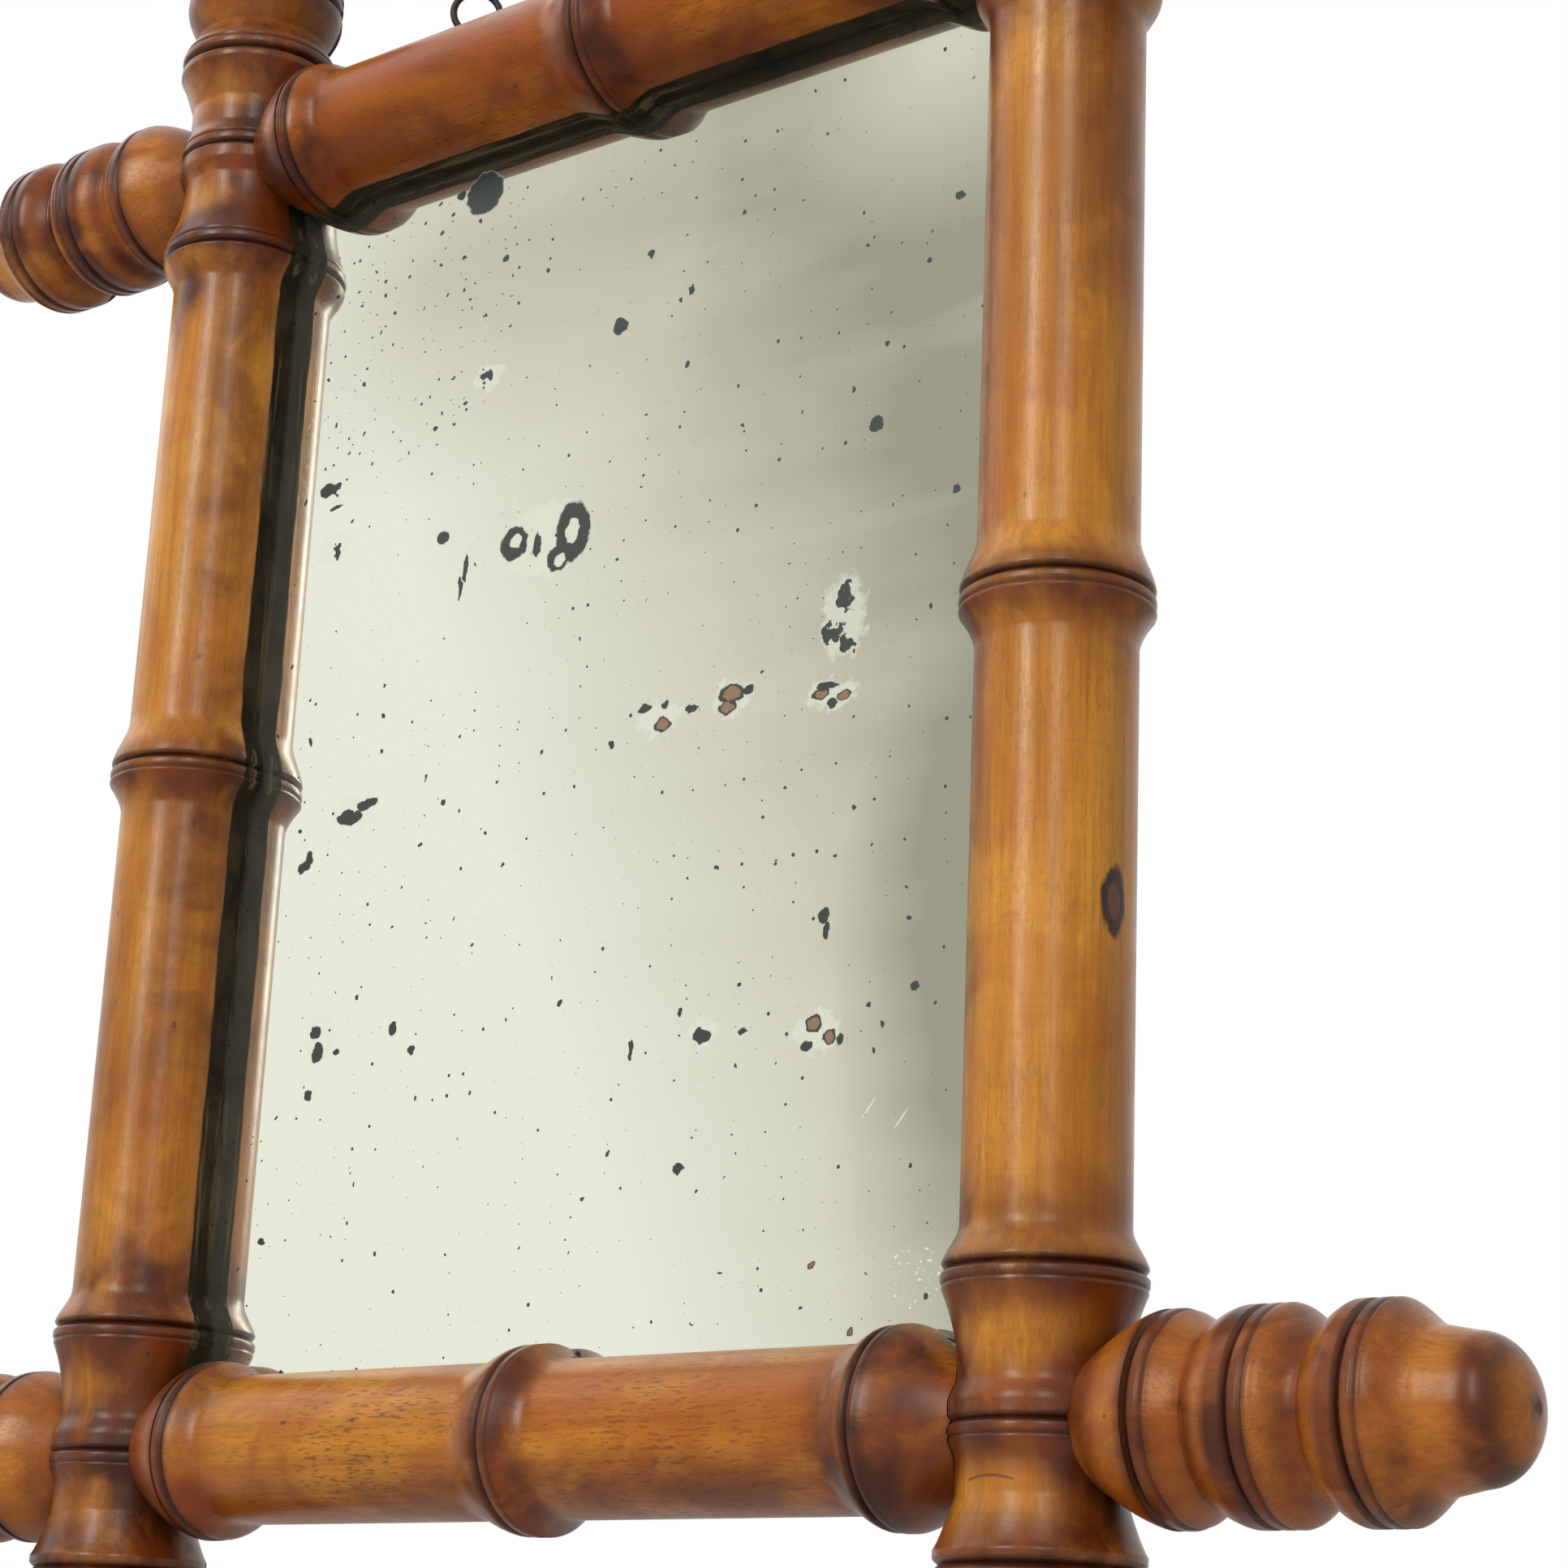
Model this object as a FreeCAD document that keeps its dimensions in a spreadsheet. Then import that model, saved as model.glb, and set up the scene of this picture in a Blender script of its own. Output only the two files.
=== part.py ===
import FreeCAD, Part
import os
import re
import Sketcher

# A faux bamboo wall mirror. Four sticks, turned on a lathe to look like bamboo, cross at
# the corners and run on past them. The stiles are whole. Each rail is a middle piece and
# two end pieces, hollowed at the joint to sit round the stile and held by a dowel that
# runs through it. An old mirror plate and a thin board lie in a rebate behind the sticks,
# held by brads, and two rings in screw eyes hang the frame on the wall.
#
# Millimetres. X is to the right, Y to the wall and Z up, with the origin in the middle of
# the frame, on the axes of the sticks.

doc = FreeCAD.newDocument("faux_bamboo_mirror")
sheet = doc.addObject("Spreadsheet::Sheet", "sizes")

# Driving dimensions: the name of each cell, its value and what it measures
SIZES = [
    ("stile_spacing", 243.8, "from one stile's axis to the other's"),
    ("rail_spacing", 317.4, "from one rail's axis to the other's"),
    ("stick_radius", 16.0, "the plain lengths of every stick"),
    ("ring_radius", 19.4, "the crown of every ring"),
    ("ring_band", 4.4, "the crown of every ring, along the stick"),
    ("ring_slope", 7.0, "from a ring's crown down to the plain stick"),
    ("waist_radius", 15.6, "the stile on both sides of the bead at a crossing"),
    ("waist_slope", 10.0, "from a stile's ring down to its waist"),
    ("bead_radius", 17.5, "the bead on the stile at a crossing"),
    ("bead_band", 5.2, "the crown of that bead, along the stile"),
    ("bead_slope", 4.4, "from that bead down to the waist"),
    ("stile_ring_place", 26.8, "from a crossing to the middle of the stile's rings"),
    ("rail_ring_place", 30.2, "from a crossing to the ring of a rail's middle piece"),
    ("end_ring_place", 30.1, "from a crossing to the first ring of an end piece"),
    ("end_ring_pitch", 20.4, "from one ring of an end to the next"),
    ("valley_radius", 14.4, "the valleys between those rings"),
    ("end_fall", 6.0, "from the crown of an end's ring out to its valley"),
    ("end_reach", 66.6, "from the first ring of an end to its tip"),
    ("shoulder_radius", 14.7, "the tip, where it leaves the last ring"),
    ("tip_radius", 12.8, "the tip, where its bevel starts"),
    ("tip_flat_radius", 6.8, "the flat at the very end"),
    ("tip_bevel", 7.2, "the bevelled part of the tip, along the stick"),
    ("nose_radius", 10.0, "a rail piece where it meets the stile"),
    ("nose_reach", 11.6, "from the stile's axis to that end"),
    ("joint_gap", 0.15, "between a rail piece and the stile it sits on"),
    ("dowel_radius", 5.0, "the dowel through each crossing"),
    ("dowel_reach", 34.0, "from the crossing to each end of the dowel"),
    ("glue_gap", 0.1, "round the dowels, brads and eye shanks, and past their ends"),
    ("glass_front", 4.6, "from the plane of the axes back to the glass"),
    ("glass_thickness", 3.0, "the mirror plate"),
    ("board_thickness", 4.0, "the board behind the plate"),
    ("plate_gap", 0.3, "round the plate and the board, and between them"),
    ("rebate_wall", 8.0, "from a stick's axis to the side wall of its rebate"),
    ("brad_width", 1.2, "the square brads that hold the board"),
    ("brad_in_wood", 7.0, "how deep a brad is driven"),
    ("brad_over_board", 6.5, "how far a brad runs over the board"),
    ("stile_brad_pitch", 84.0, "between the brads of a stile"),
    ("rail_brad_pitch", 52.0, "between the brads of a rail"),
    ("overrun", 6.0, "how far cuts run past the surface"),
    ("eye_spacing", 106.0, "from one screw eye to the other"),
    ("eye_back", 6.0, "from the plane of the axes back to the screw eyes"),
    ("eye_height", 19.4, "from the top rail's axis up to the middle of an eye"),
    ("eye_radius", 3.15, "the middle line of a screw eye"),
    ("eye_turn", 45.0, "degrees from the rail's own direction to an eye's axis"),
    ("wire_radius", 0.85, "the wire of the screw eyes and the hanging rings"),
    ("shank_length", 15.0, "from the middle of an eye to its point"),
    ("shank_point", 2.4, "the pointed part of the shank"),
    ("hanger_radius", 5.65, "the middle line of a hanging ring"),
    ("hanger_gap", 0.35, "between a hanging ring and the eye it stands up from"),
]
for row, (alias, number, words) in enumerate(SIZES, start=1):
    sheet.set(f"A{row}", str(number))
    sheet.set(f"B{row}", words)
    sheet.setAlias(f"A{row}", alias)
doc.recompute()

ALIASES = {alias for alias, number, words in SIZES}


def bound(formula):
    """The formula with each size named as the sheet's own, for an expression."""
    return re.sub(
        r"[a-z_]+",
        lambda word: f"sizes.{word[0]}" if word[0] in ALIASES else word[0],
        formula,
    )


def amount(formula):
    """The formula's value at the sizes as they are."""
    return float(sheet.evalExpression(bound(formula)))


def tie(thing, **formulas):
    """Binds properties of an object to formulas. A double underscore stands for a dot."""
    for name, formula in formulas.items():
        thing.setExpression(name.replace("__", "."), bound(formula))
    return thing


def origin_part(body, role):
    """One of the body's own origin planes."""
    return next(f for f in body.Origin.OriginFeatures if f.Role == role)


def hold_point(sketch, edge, end, across, along):
    """Ties one point of a sketch to its place across and along."""
    for kind, place, axis in (("DistanceX", across, -2), ("DistanceY", along, -1)):
        if place == "0":
            sketch.addConstraint(Sketcher.Constraint("PointOnObject", edge, end, axis))
            continue
        held = Sketcher.Constraint(kind, -1, 1, edge, end, amount(place))
        limit = sketch.addConstraint(held)
        sketch.setExpression(f"Constraints[{limit}]", bound(place))


def outline(body, name, role, corners, axis_at=None):
    """A closed sketch of straight lines on one of the body's origin planes. Each corner is
    its place across and along. axis_at adds a construction line across the sketch at that
    height, to turn the outline about."""
    sketch = body.newObject("Sketcher::SketchObject", name)
    sketch.AttachmentSupport = (origin_part(body, role), [""])
    sketch.MapMode = "FlatFace"
    points = [FreeCAD.Vector(amount(across), amount(along), 0) for across, along in corners]
    for i, start in enumerate(points):
        sketch.addGeometry(Part.LineSegment(start, points[(i + 1) % len(points)]))
    for i, (across, along) in enumerate(corners):
        before = (i - 1) % len(corners)
        sketch.addConstraint(Sketcher.Constraint("Coincident", before, 2, i, 1))
        hold_point(sketch, i, 1, across, along)
    if axis_at is not None:
        height = amount(axis_at)
        low, high = FreeCAD.Vector(0, height, 0), FreeCAD.Vector(amount("overrun"), height, 0)
        line = sketch.addGeometry(Part.LineSegment(low, high), True)
        hold_point(sketch, line, 1, "0", axis_at)
        hold_point(sketch, line, 2, "overrun", axis_at)
    return sketch


def turned(body, name, corners, cut=False, role="XZ_Plane", axis="V_Axis", axis_at=None):
    """Turns an outline about an axis, to add to the body or, with cut, to take away."""
    sketch = outline(body, f"{name}_outline", role, corners, axis_at)
    kind = "PartDesign::Groove" if cut else "PartDesign::Revolution"
    feature = body.newObject(kind, name)
    feature.Profile = sketch
    feature.ReferenceAxis = (sketch, ["Axis0" if axis_at is not None else axis])
    feature.Angle = 360
    return feature


def crown(place):
    """The two corners of a ring's crown."""
    low = f"{place} - ring_band / 2"
    return [("ring_radius", low), ("ring_radius", f"{place} + ring_band / 2")]


def end_outline(first):
    """The corners of a stick's end from its first ring at first: three rings with valleys
    between them, a shoulder, and a bevelled tip."""
    corners = []
    for count in range(3):
        place = f"{first} + {count} * end_ring_pitch"
        foot = "valley_radius" if count < 2 else "shoulder_radius"
        corners += crown(place)
        corners.append((foot, f"{place} + ring_band / 2 + end_fall"))
    tip = f"{first} + end_reach"
    return corners + [
        ("tip_radius", f"{tip} - tip_bevel"),
        ("tip_flat_radius", tip),
        ("0", tip),
    ]


def middle_ring(body):
    """The ring round the middle of a stick."""
    foot = "ring_band / 2 + ring_slope"
    return turned(
        body, "middle_ring",
        [
            ("0", f"-({foot})"),
            ("stick_radius", f"-({foot})"),
            *crown("0"),
            ("stick_radius", foot),
            ("0", foot),
        ],
    )


def mirror_across(body, features):
    """Repeats features on the other side of the body's middle."""
    both = body.newObject("PartDesign::Mirrored", "both_halves")
    both.Originals = features
    both.MirrorPlane = (origin_part(body, "XY_Plane"), [""])
    body.Tip = both
    return both


def cut_rebate(body, side, length):
    """Cuts the step for the plate and the board out of the back of a stick, on the side
    where the opening is."""
    outer = f"{side} * (ring_radius + overrun)"
    wall = f"{side} * rebate_wall"
    back = "ring_radius + overrun"
    corners = [(wall, "glass_front"), (outer, "glass_front"), (outer, back), (wall, back)]
    sketch = outline(body, "rebate_outline", "XY_Plane", corners)
    rebate = body.newObject("PartDesign::Pocket", "rebate")
    rebate.Profile = sketch
    rebate.Midplane = True
    tie(rebate, Length=length)
    return rebate


BRAD_FRONT = "glass_front + glass_thickness + board_thickness + 2 * plate_gap"


def drill_across(body, name, along, radius, length):
    """A round hole right through a stick, across it, at a place along it."""
    sketch = body.newObject("Sketcher::SketchObject", f"{name}_circle")
    sketch.AttachmentSupport = (origin_part(body, "YZ_Plane"), [""])
    sketch.MapMode = "FlatFace"
    centre = FreeCAD.Vector(0, amount(along), 0)
    circle = sketch.addGeometry(Part.Circle(centre, FreeCAD.Vector(0, 0, 1), amount(radius)))
    limit = sketch.addConstraint(Sketcher.Constraint("Radius", circle, amount(radius)))
    sketch.setExpression(f"Constraints[{limit}]", bound(radius))
    hold_point(sketch, circle, 3, "0", along)
    hole = body.newObject("PartDesign::Pocket", name)
    hole.Profile = sketch
    hole.Midplane = True
    tie(hole, Length=length)
    return hole


def cut_brad_holes(body, side, pitch):
    """The square holes of a stick's three brads, in the side wall of its rebate."""
    low = f"{BRAD_FRONT} - glue_gap"
    high = f"{BRAD_FRONT} + brad_width + glue_gap"
    foot = f"-{pitch} - brad_width / 2 - glue_gap"
    top = f"-{pitch} + brad_width / 2 + glue_gap"
    corners = [(low, foot), (high, foot), (high, top), (low, top)]
    hole = body.newObject("PartDesign::Pocket", "brad_hole")
    hole.Profile = outline(body, "brad_hole_outline", "YZ_Plane", corners)
    hole.Reversed = side > 0
    tie(hole, Length="rebate_wall + overrun")
    doc.recompute()
    row = body.newObject("PartDesign::LinearPattern", "brad_holes")
    row.Originals = [hole]
    row.Direction = (origin_part(body, "Z_Axis"), [""])
    row.Occurrences = 3
    tie(row, Length=f"2 * {pitch}")
    body.Tip = row
    return row


def new_body(name):
    """A body whose label names the piece."""
    body = doc.addObject("PartDesign::Body", name)
    body.Label = name
    return body


def stile(name, side):
    """A whole stick, standing at one side of the frame. For each crossing it has a ring on
    the inner side, a low bead where the rail sits and the three rings of its end."""
    body = new_body(name)
    crossing = "rail_spacing / 2"
    inner = f"{crossing} - stile_ring_place"
    outer = f"{crossing} + stile_ring_place"
    bead_foot = "(bead_band / 2 + bead_slope)"
    blank = turned(
        body, "half_stick",
        [
            ("0", "0"),
            ("stick_radius", "0"),
            ("stick_radius", f"{inner} - ring_band / 2 - ring_slope"),
            *crown(inner),
            ("waist_radius", f"{inner} + ring_band / 2 + waist_slope"),
            ("waist_radius", f"{crossing} - {bead_foot}"),
            ("bead_radius", f"{crossing} - bead_band / 2"),
            ("bead_radius", f"{crossing} + bead_band / 2"),
            ("waist_radius", f"{crossing} + {bead_foot}"),
            ("waist_radius", f"{outer} - ring_band / 2 - waist_slope"),
            *end_outline(outer),
        ],
    )
    doc.recompute()
    width = "2 * (ring_radius + overrun)"
    bore = drill_across(body, "dowel_hole", crossing, "dowel_radius + glue_gap", width)
    mirror_across(body, [blank, bore])
    middle_ring(body)
    doc.recompute()
    cut_rebate(body, side, "rail_spacing - 2 * rebate_wall")
    doc.recompute()
    cut_brad_holes(body, side, "stile_brad_pitch")
    tie(body, Placement__Base__x=f"{-side} * stile_spacing / 2")
    return body


def cope(body, crossing, way):
    """Hollows the end of a rail piece to sit round the stile and its bead."""
    waist = f"{crossing} + {way} * (waist_radius + joint_gap)"
    bead = f"{crossing} + {way} * (bead_radius + joint_gap)"
    reach = "(ring_radius + overrun)"
    corners = [
        (f"-{reach}", crossing),
        (f"-{reach}", waist),
        ("-bead_band / 2 - bead_slope", waist),
        ("-bead_band / 2", bead),
        ("bead_band / 2", bead),
        ("bead_band / 2 + bead_slope", waist),
        (reach, waist),
        (reach, crossing),
    ]
    if crossing == "0":
        return turned(body, "cope", corners, cut=True, axis="H_Axis")
    return turned(body, "cope", corners, cut=True, axis_at=crossing)


def bore_for_dowel(body, near, far):
    """A blind round hole along the middle of a rail piece."""
    radius = "dowel_radius + glue_gap"
    corners = [("0", near), (radius, near), (radius, far), ("0", far)]
    return turned(body, "dowel_hole", corners, cut=True)


def rail(name, side):
    """The middle piece of a rail, modelled upright. Near each end it has a ring, and from
    there it rounds down to the stile, whose shape is hollowed out of it."""
    body = new_body(name)
    crossing = "stile_spacing / 2"
    ring = f"{crossing} - rail_ring_place"
    blank = turned(
        body, "half_stick",
        [
            ("0", "0"),
            ("stick_radius", "0"),
            ("stick_radius", f"{ring} - ring_band / 2 - ring_slope"),
            *crown(ring),
            ("nose_radius", f"{crossing} - nose_reach"),
            ("0", f"{crossing} - nose_reach"),
        ],
    )
    doc.recompute()
    hollow = cope(body, crossing, -1)
    bore = bore_for_dowel(body, f"{crossing} - dowel_reach - glue_gap", crossing)
    mirror_across(body, [blank, hollow, bore])
    middle_ring(body)
    doc.recompute()
    cut_rebate(body, side, "stile_spacing")
    doc.recompute()
    cut_brad_holes(body, side, "rail_brad_pitch")
    body.Placement.Rotation = FreeCAD.Rotation(FreeCAD.Vector(0, 1, 0), 90)
    tie(body, Placement__Base__z=f"{side} * rail_spacing / 2")
    return body


def rail_end(name, across, up):
    """The end piece of a rail, outside the stile, with three rings and a rounded tip."""
    body = new_body(name)
    turned(
        body, "stick_end",
        [
            ("0", "nose_reach"),
            ("nose_radius", "nose_reach"),
            *end_outline("end_ring_place"),
        ],
    )
    doc.recompute()
    cope(body, "0", 1)
    bore_for_dowel(body, "0", "dowel_reach + glue_gap")
    body.Placement.Rotation = FreeCAD.Rotation(FreeCAD.Vector(0, 1, 0), 90 * across)
    tie(
        body,
        Placement__Base__x=f"{across} * stile_spacing / 2",
        Placement__Base__z=f"{up} * rail_spacing / 2",
    )
    return body


def dowel(name, across, up):
    """The plain dowel that runs through a stile into both pieces of a rail."""
    rod = doc.addObject("Part::Cylinder", name)
    rod.Label = name
    rod.Placement.Rotation = FreeCAD.Rotation(FreeCAD.Vector(0, 1, 0), 90)
    tie(
        rod,
        Radius="dowel_radius",
        Height="2 * dowel_reach",
        Placement__Base__x=f"{across} * stile_spacing / 2 - dowel_reach",
        Placement__Base__z=f"{up} * rail_spacing / 2",
    )
    return rod


def plate(name, front, thickness):
    """A flat sheet that fills the rebate from side to side and from top to bottom."""
    sheet_of = doc.addObject("Part::Box", name)
    sheet_of.Label = name
    width = "stile_spacing - 2 * (rebate_wall + plate_gap)"
    height = "rail_spacing - 2 * (rebate_wall + plate_gap)"
    tie(
        sheet_of,
        Length=width,
        Width=thickness,
        Height=height,
        Placement__Base__x=f"-({width}) / 2",
        Placement__Base__y=front,
        Placement__Base__z=f"-({height}) / 2",
    )
    return sheet_of


def brads():
    """Twelve square headless brads, driven into the walls of the rebate over the board."""
    rods = []
    length = "(brad_in_wood + brad_over_board)"
    inset = "(rebate_wall + (brad_over_board - brad_in_wood) / 2)"
    for side in (-1, 1):
        for count in (-1, 0, 1):
            stile_rod = doc.addObject("Part::Box", "stile_brad")
            tie(
                stile_rod,
                Length=length,
                Height="brad_width",
                Placement__Base__x=f"{side} * (stile_spacing / 2 - {inset}) - {length} / 2",
                Placement__Base__z=f"{count} * stile_brad_pitch - brad_width / 2",
            )
            rail_rod = doc.addObject("Part::Box", "rail_brad")
            tie(
                rail_rod,
                Length="brad_width",
                Height=length,
                Placement__Base__x=f"{count} * rail_brad_pitch - brad_width / 2",
                Placement__Base__z=f"{side} * (rail_spacing / 2 - {inset}) - {length} / 2",
            )
            rods += [stile_rod, rail_rod]
    for rod in rods:
        tie(rod, Width="brad_width", Placement__Base__y=BRAD_FRONT)
    group = doc.addObject("Part::Compound", "board_brads")
    group.Label = "board_brads"
    group.Links = rods
    return group


def wire_loop(body, name, role, across, along, axis):
    """A closed loop of wire: a six-sided section, turned about a sketch's axis."""
    corners = []
    for turn in range(0, 360, 60):
        right = f"{across} + wire_radius * cos({turn} * 1 deg)"
        corners.append((right, f"{along} + wire_radius * sin({turn} * 1 deg)"))
    return turned(body, name, corners, role=role, axis=axis)


def place_on_rail(body, across, height):
    """Stands a piece on the top rail, height over its axis, turned as the eyes are."""
    body.Placement.Rotation = FreeCAD.Rotation(FreeCAD.Vector(0, 0, -across), amount("eye_turn"))
    tie(
        body,
        Placement__Rotation__Angle="eye_turn * 1 deg",
        Placement__Base__x=f"{across} * eye_spacing / 2",
        Placement__Base__y="eye_back",
        Placement__Base__z=f"rail_spacing / 2 + {height}",
    )
    return body


def screw_eye(name, across):
    """A wire eye on a pointed shank, driven straight down into the top rail."""
    body = new_body(name)
    turned(
        body, "shank",
        [
            ("0", "-shank_length"),
            ("wire_radius", "shank_point - shank_length"),
            ("wire_radius", "-eye_radius"),
            ("0", "-eye_radius"),
        ],
    )
    wire_loop(body, "eye", "XZ_Plane", "0", "eye_radius", "H_Axis")
    return place_on_rail(body, across, "eye_height")


def hanging_ring(name, across):
    """A loose wire ring through a screw eye, standing up as it does on the wall's nail."""
    body = new_body(name)
    wire_loop(body, "loop", "XY_Plane", "hanger_radius", "0", "V_Axis")
    foot = "eye_height + eye_radius - 2 * wire_radius - hanger_gap"
    return place_on_rail(body, across, f"{foot} + hanger_radius")


def drilled_for_eyes(rail_body, name):
    """The top rail with the two holes that the screw eyes are driven into."""
    holes = []
    for across in (-1, 1):
        hole = doc.addObject("Part::Cylinder", "eye_hole")
        foot = "rail_spacing / 2 + eye_height - shank_length - glue_gap"
        tie(
            hole,
            Radius="wire_radius + glue_gap",
            Height="shank_length + overrun",
            Placement__Base__x=f"{across} * eye_spacing / 2",
            Placement__Base__y="eye_back",
            Placement__Base__z=foot,
        )
        holes.append(hole)
    pair = doc.addObject("Part::Compound", "eye_holes")
    pair.Links = holes
    drilled = doc.addObject("Part::Cut", name)
    drilled.Label = name
    drilled.Base = rail_body
    drilled.Tool = pair
    return drilled


pieces = [stile("left_stile", 1), stile("right_stile", -1)]
top_rail = rail("top_rail_turned", 1)
pieces += [drilled_for_eyes(top_rail, "top_rail"), rail("bottom_rail", -1)]
for up, height in ((1, "top"), (-1, "bottom")):
    for across, hand in ((-1, "left"), (1, "right")):
        pieces.append(rail_end(f"{height}_{hand}_end", across, up))
        pieces.append(dowel(f"{height}_{hand}_dowel", across, up))
board_front = "glass_front + glass_thickness + plate_gap"
pieces.append(plate("mirror_glass", "glass_front", "glass_thickness"))
pieces.append(plate("backing_board", board_front, "board_thickness"))
pieces.append(brads())
for across, hand in ((-1, "left"), (1, "right")):
    pieces.append(screw_eye(f"{hand}_screw_eye", across))
    pieces.append(hanging_ring(f"{hand}_hanging_ring", across))
doc.recompute()

# Nothing is written unless every object is sound
for thing in doc.Objects:
    if "Invalid" in thing.State or "Error" in thing.State:
        raise RuntimeError(f"{thing.Name} ({thing.Label}) failed: {thing.State}")
for piece in pieces:
    if piece.Shape.isNull() or not piece.Shape.isValid() or not piece.Shape.Solids:
        raise RuntimeError(f"{piece.Label} has no sound shape")

os.makedirs("parts", exist_ok=True)
for piece in pieces:
    piece.Shape.exportStep(f"parts/{piece.Label}.step")
    box = piece.Shape.BoundBox
    print(
        piece.Label, len(piece.Shape.Solids), "solids", round(piece.Shape.Volume),
        [round(v, 2) for v in (box.XMin, box.XMax, box.YMin, box.YMax, box.ZMin, box.ZMax)],
    )
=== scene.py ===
import math
import bpy
import numpy as np
from mathutils import Matrix, Vector


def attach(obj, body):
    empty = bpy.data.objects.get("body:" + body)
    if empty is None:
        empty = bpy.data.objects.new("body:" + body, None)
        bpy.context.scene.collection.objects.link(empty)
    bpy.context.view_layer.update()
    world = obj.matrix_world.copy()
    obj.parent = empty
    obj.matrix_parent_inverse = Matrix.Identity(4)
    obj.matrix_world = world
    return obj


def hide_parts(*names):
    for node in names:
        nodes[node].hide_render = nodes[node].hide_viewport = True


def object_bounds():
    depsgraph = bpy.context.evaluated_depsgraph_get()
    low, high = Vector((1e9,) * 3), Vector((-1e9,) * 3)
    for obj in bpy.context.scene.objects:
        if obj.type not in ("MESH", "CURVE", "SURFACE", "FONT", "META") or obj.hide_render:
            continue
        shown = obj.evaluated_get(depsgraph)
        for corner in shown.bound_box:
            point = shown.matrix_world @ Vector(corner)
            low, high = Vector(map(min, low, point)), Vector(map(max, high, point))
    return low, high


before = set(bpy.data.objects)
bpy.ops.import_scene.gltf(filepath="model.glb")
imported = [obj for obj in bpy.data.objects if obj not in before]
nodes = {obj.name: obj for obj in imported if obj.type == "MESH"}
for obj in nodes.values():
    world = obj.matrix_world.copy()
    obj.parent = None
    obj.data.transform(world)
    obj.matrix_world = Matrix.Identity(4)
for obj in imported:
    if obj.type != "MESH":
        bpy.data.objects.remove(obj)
cad_box = [list(corner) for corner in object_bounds()]


# The two stiles are whole sticks of fruitwood, turned on a lathe to look like bamboo, with
# a scorched line cut into every ring. They are stained honey brown and waxed, with painted
# shade making them redder and darker on the side facing the mirror and round the rails'
# noses. Behind the varnished part the wood is dark, dark stain together with the painted
# shade of the gap behind it, and a rebate for the mirror is cut along the inner side.
MM = 0.001  # sizes are written in millimetres, and Blender's are in metres
STILE_X = 121.9  # the stiles' axes, to each side of the mirror's middle
RAIL_Z = 158.7  # the rails' axes, above and below it
STILE_LENGTH = RAIL_Z + 93.4  # from the middle to each tip
STICK_R = 16.0
RING_R = 19.3
END_RING_R = 19.4
WAIST_R = 15.7
BEAD_R = 17.3
BEAD_FOOT = 7.6  # the bead's foot, from the rail's axis
BEAD_RISE = 4.8
SHOULDER_R = 14.7
TIP_R = 13.1
SEAT_Y = 4.6  # the rebate's seat for the glass, behind the axes
WALL = 8.0  # the rebate's side wall, from a stick's axis
VARNISH_INSIDE = -1.4  # the y where the varnish ends, on the mirror's side of a stick
VARNISH_OUTSIDE = 12.0  # and on its other side
MIDDLE_FINE = -2.8  # the fine line below the middle ring's scorched one
INNER_RING = -27.2  # scorched lines beyond a crossing, where minus is towards the middle
BEAD_LINE = 0.4
OUTER_RING = 25.7
END_LINES = (0.0, 19.6, 40.8)  # the lines of an end's three rings, from the first one
FINE_STEP = 3.2  # from each of these lines to the fine one after it
TIP_LINE = 63.8  # the scorch round a tip, also from the first line
TIP_START = 57.4
TIP_LENGTH = 10.6
# all the scorched lines beyond a crossing, and all the fine ones beside them
SCORCHED = [INNER_RING, BEAD_LINE] + [OUTER_RING + line for line in END_LINES]
FINE = [INNER_RING + 2.9, 3.2] + [OUTER_RING + line + FINE_STEP for line in END_LINES]


def eased(t):
    """0 below t = 0, 1 above t = 1, and 3t^2 - 2t^3 between them."""
    t = np.clip(t, 0.0, 1.0)
    return t * t * (3.0 - 2.0 * t)


def ring_share(s, groove, out, rise, crown, fall, power):
    """How much of a ring's height stands at s. Towards the groove it rises with eased, on
    the other side the crown is full, and then it falls with (1 - t)^power."""
    x = (s - groove) * out
    down = 1.0 - np.clip((x - crown) / fall, 0.0, 1.0)
    return np.where(x < 0.0, eased(1.0 + x / rise), down**power)


def cut(s, place, half_width, depth):
    """The depth of a groove at s: depth in its middle, none at half_width, and between
    them (1 - |t|)^1.4."""
    return depth * np.clip(1.0 - np.abs(s - place) / half_width, 0.0, 1.0) ** 1.4


def tip_radius(d):
    """A stick's end, d from its first ring's groove: it tapers from the shoulder, then
    follows r = 13.1 (1 - t^2.2)^0.52 to the tip."""
    t = np.clip((d - TIP_START) / TIP_LENGTH, 0.0, 1.0)
    taper = SHOULDER_R + (TIP_R - SHOULDER_R) * np.clip((d - 50.0) / 8.0, 0.0, 1.0)
    return taper * (1.0 - t**2.2) ** 0.52


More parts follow.
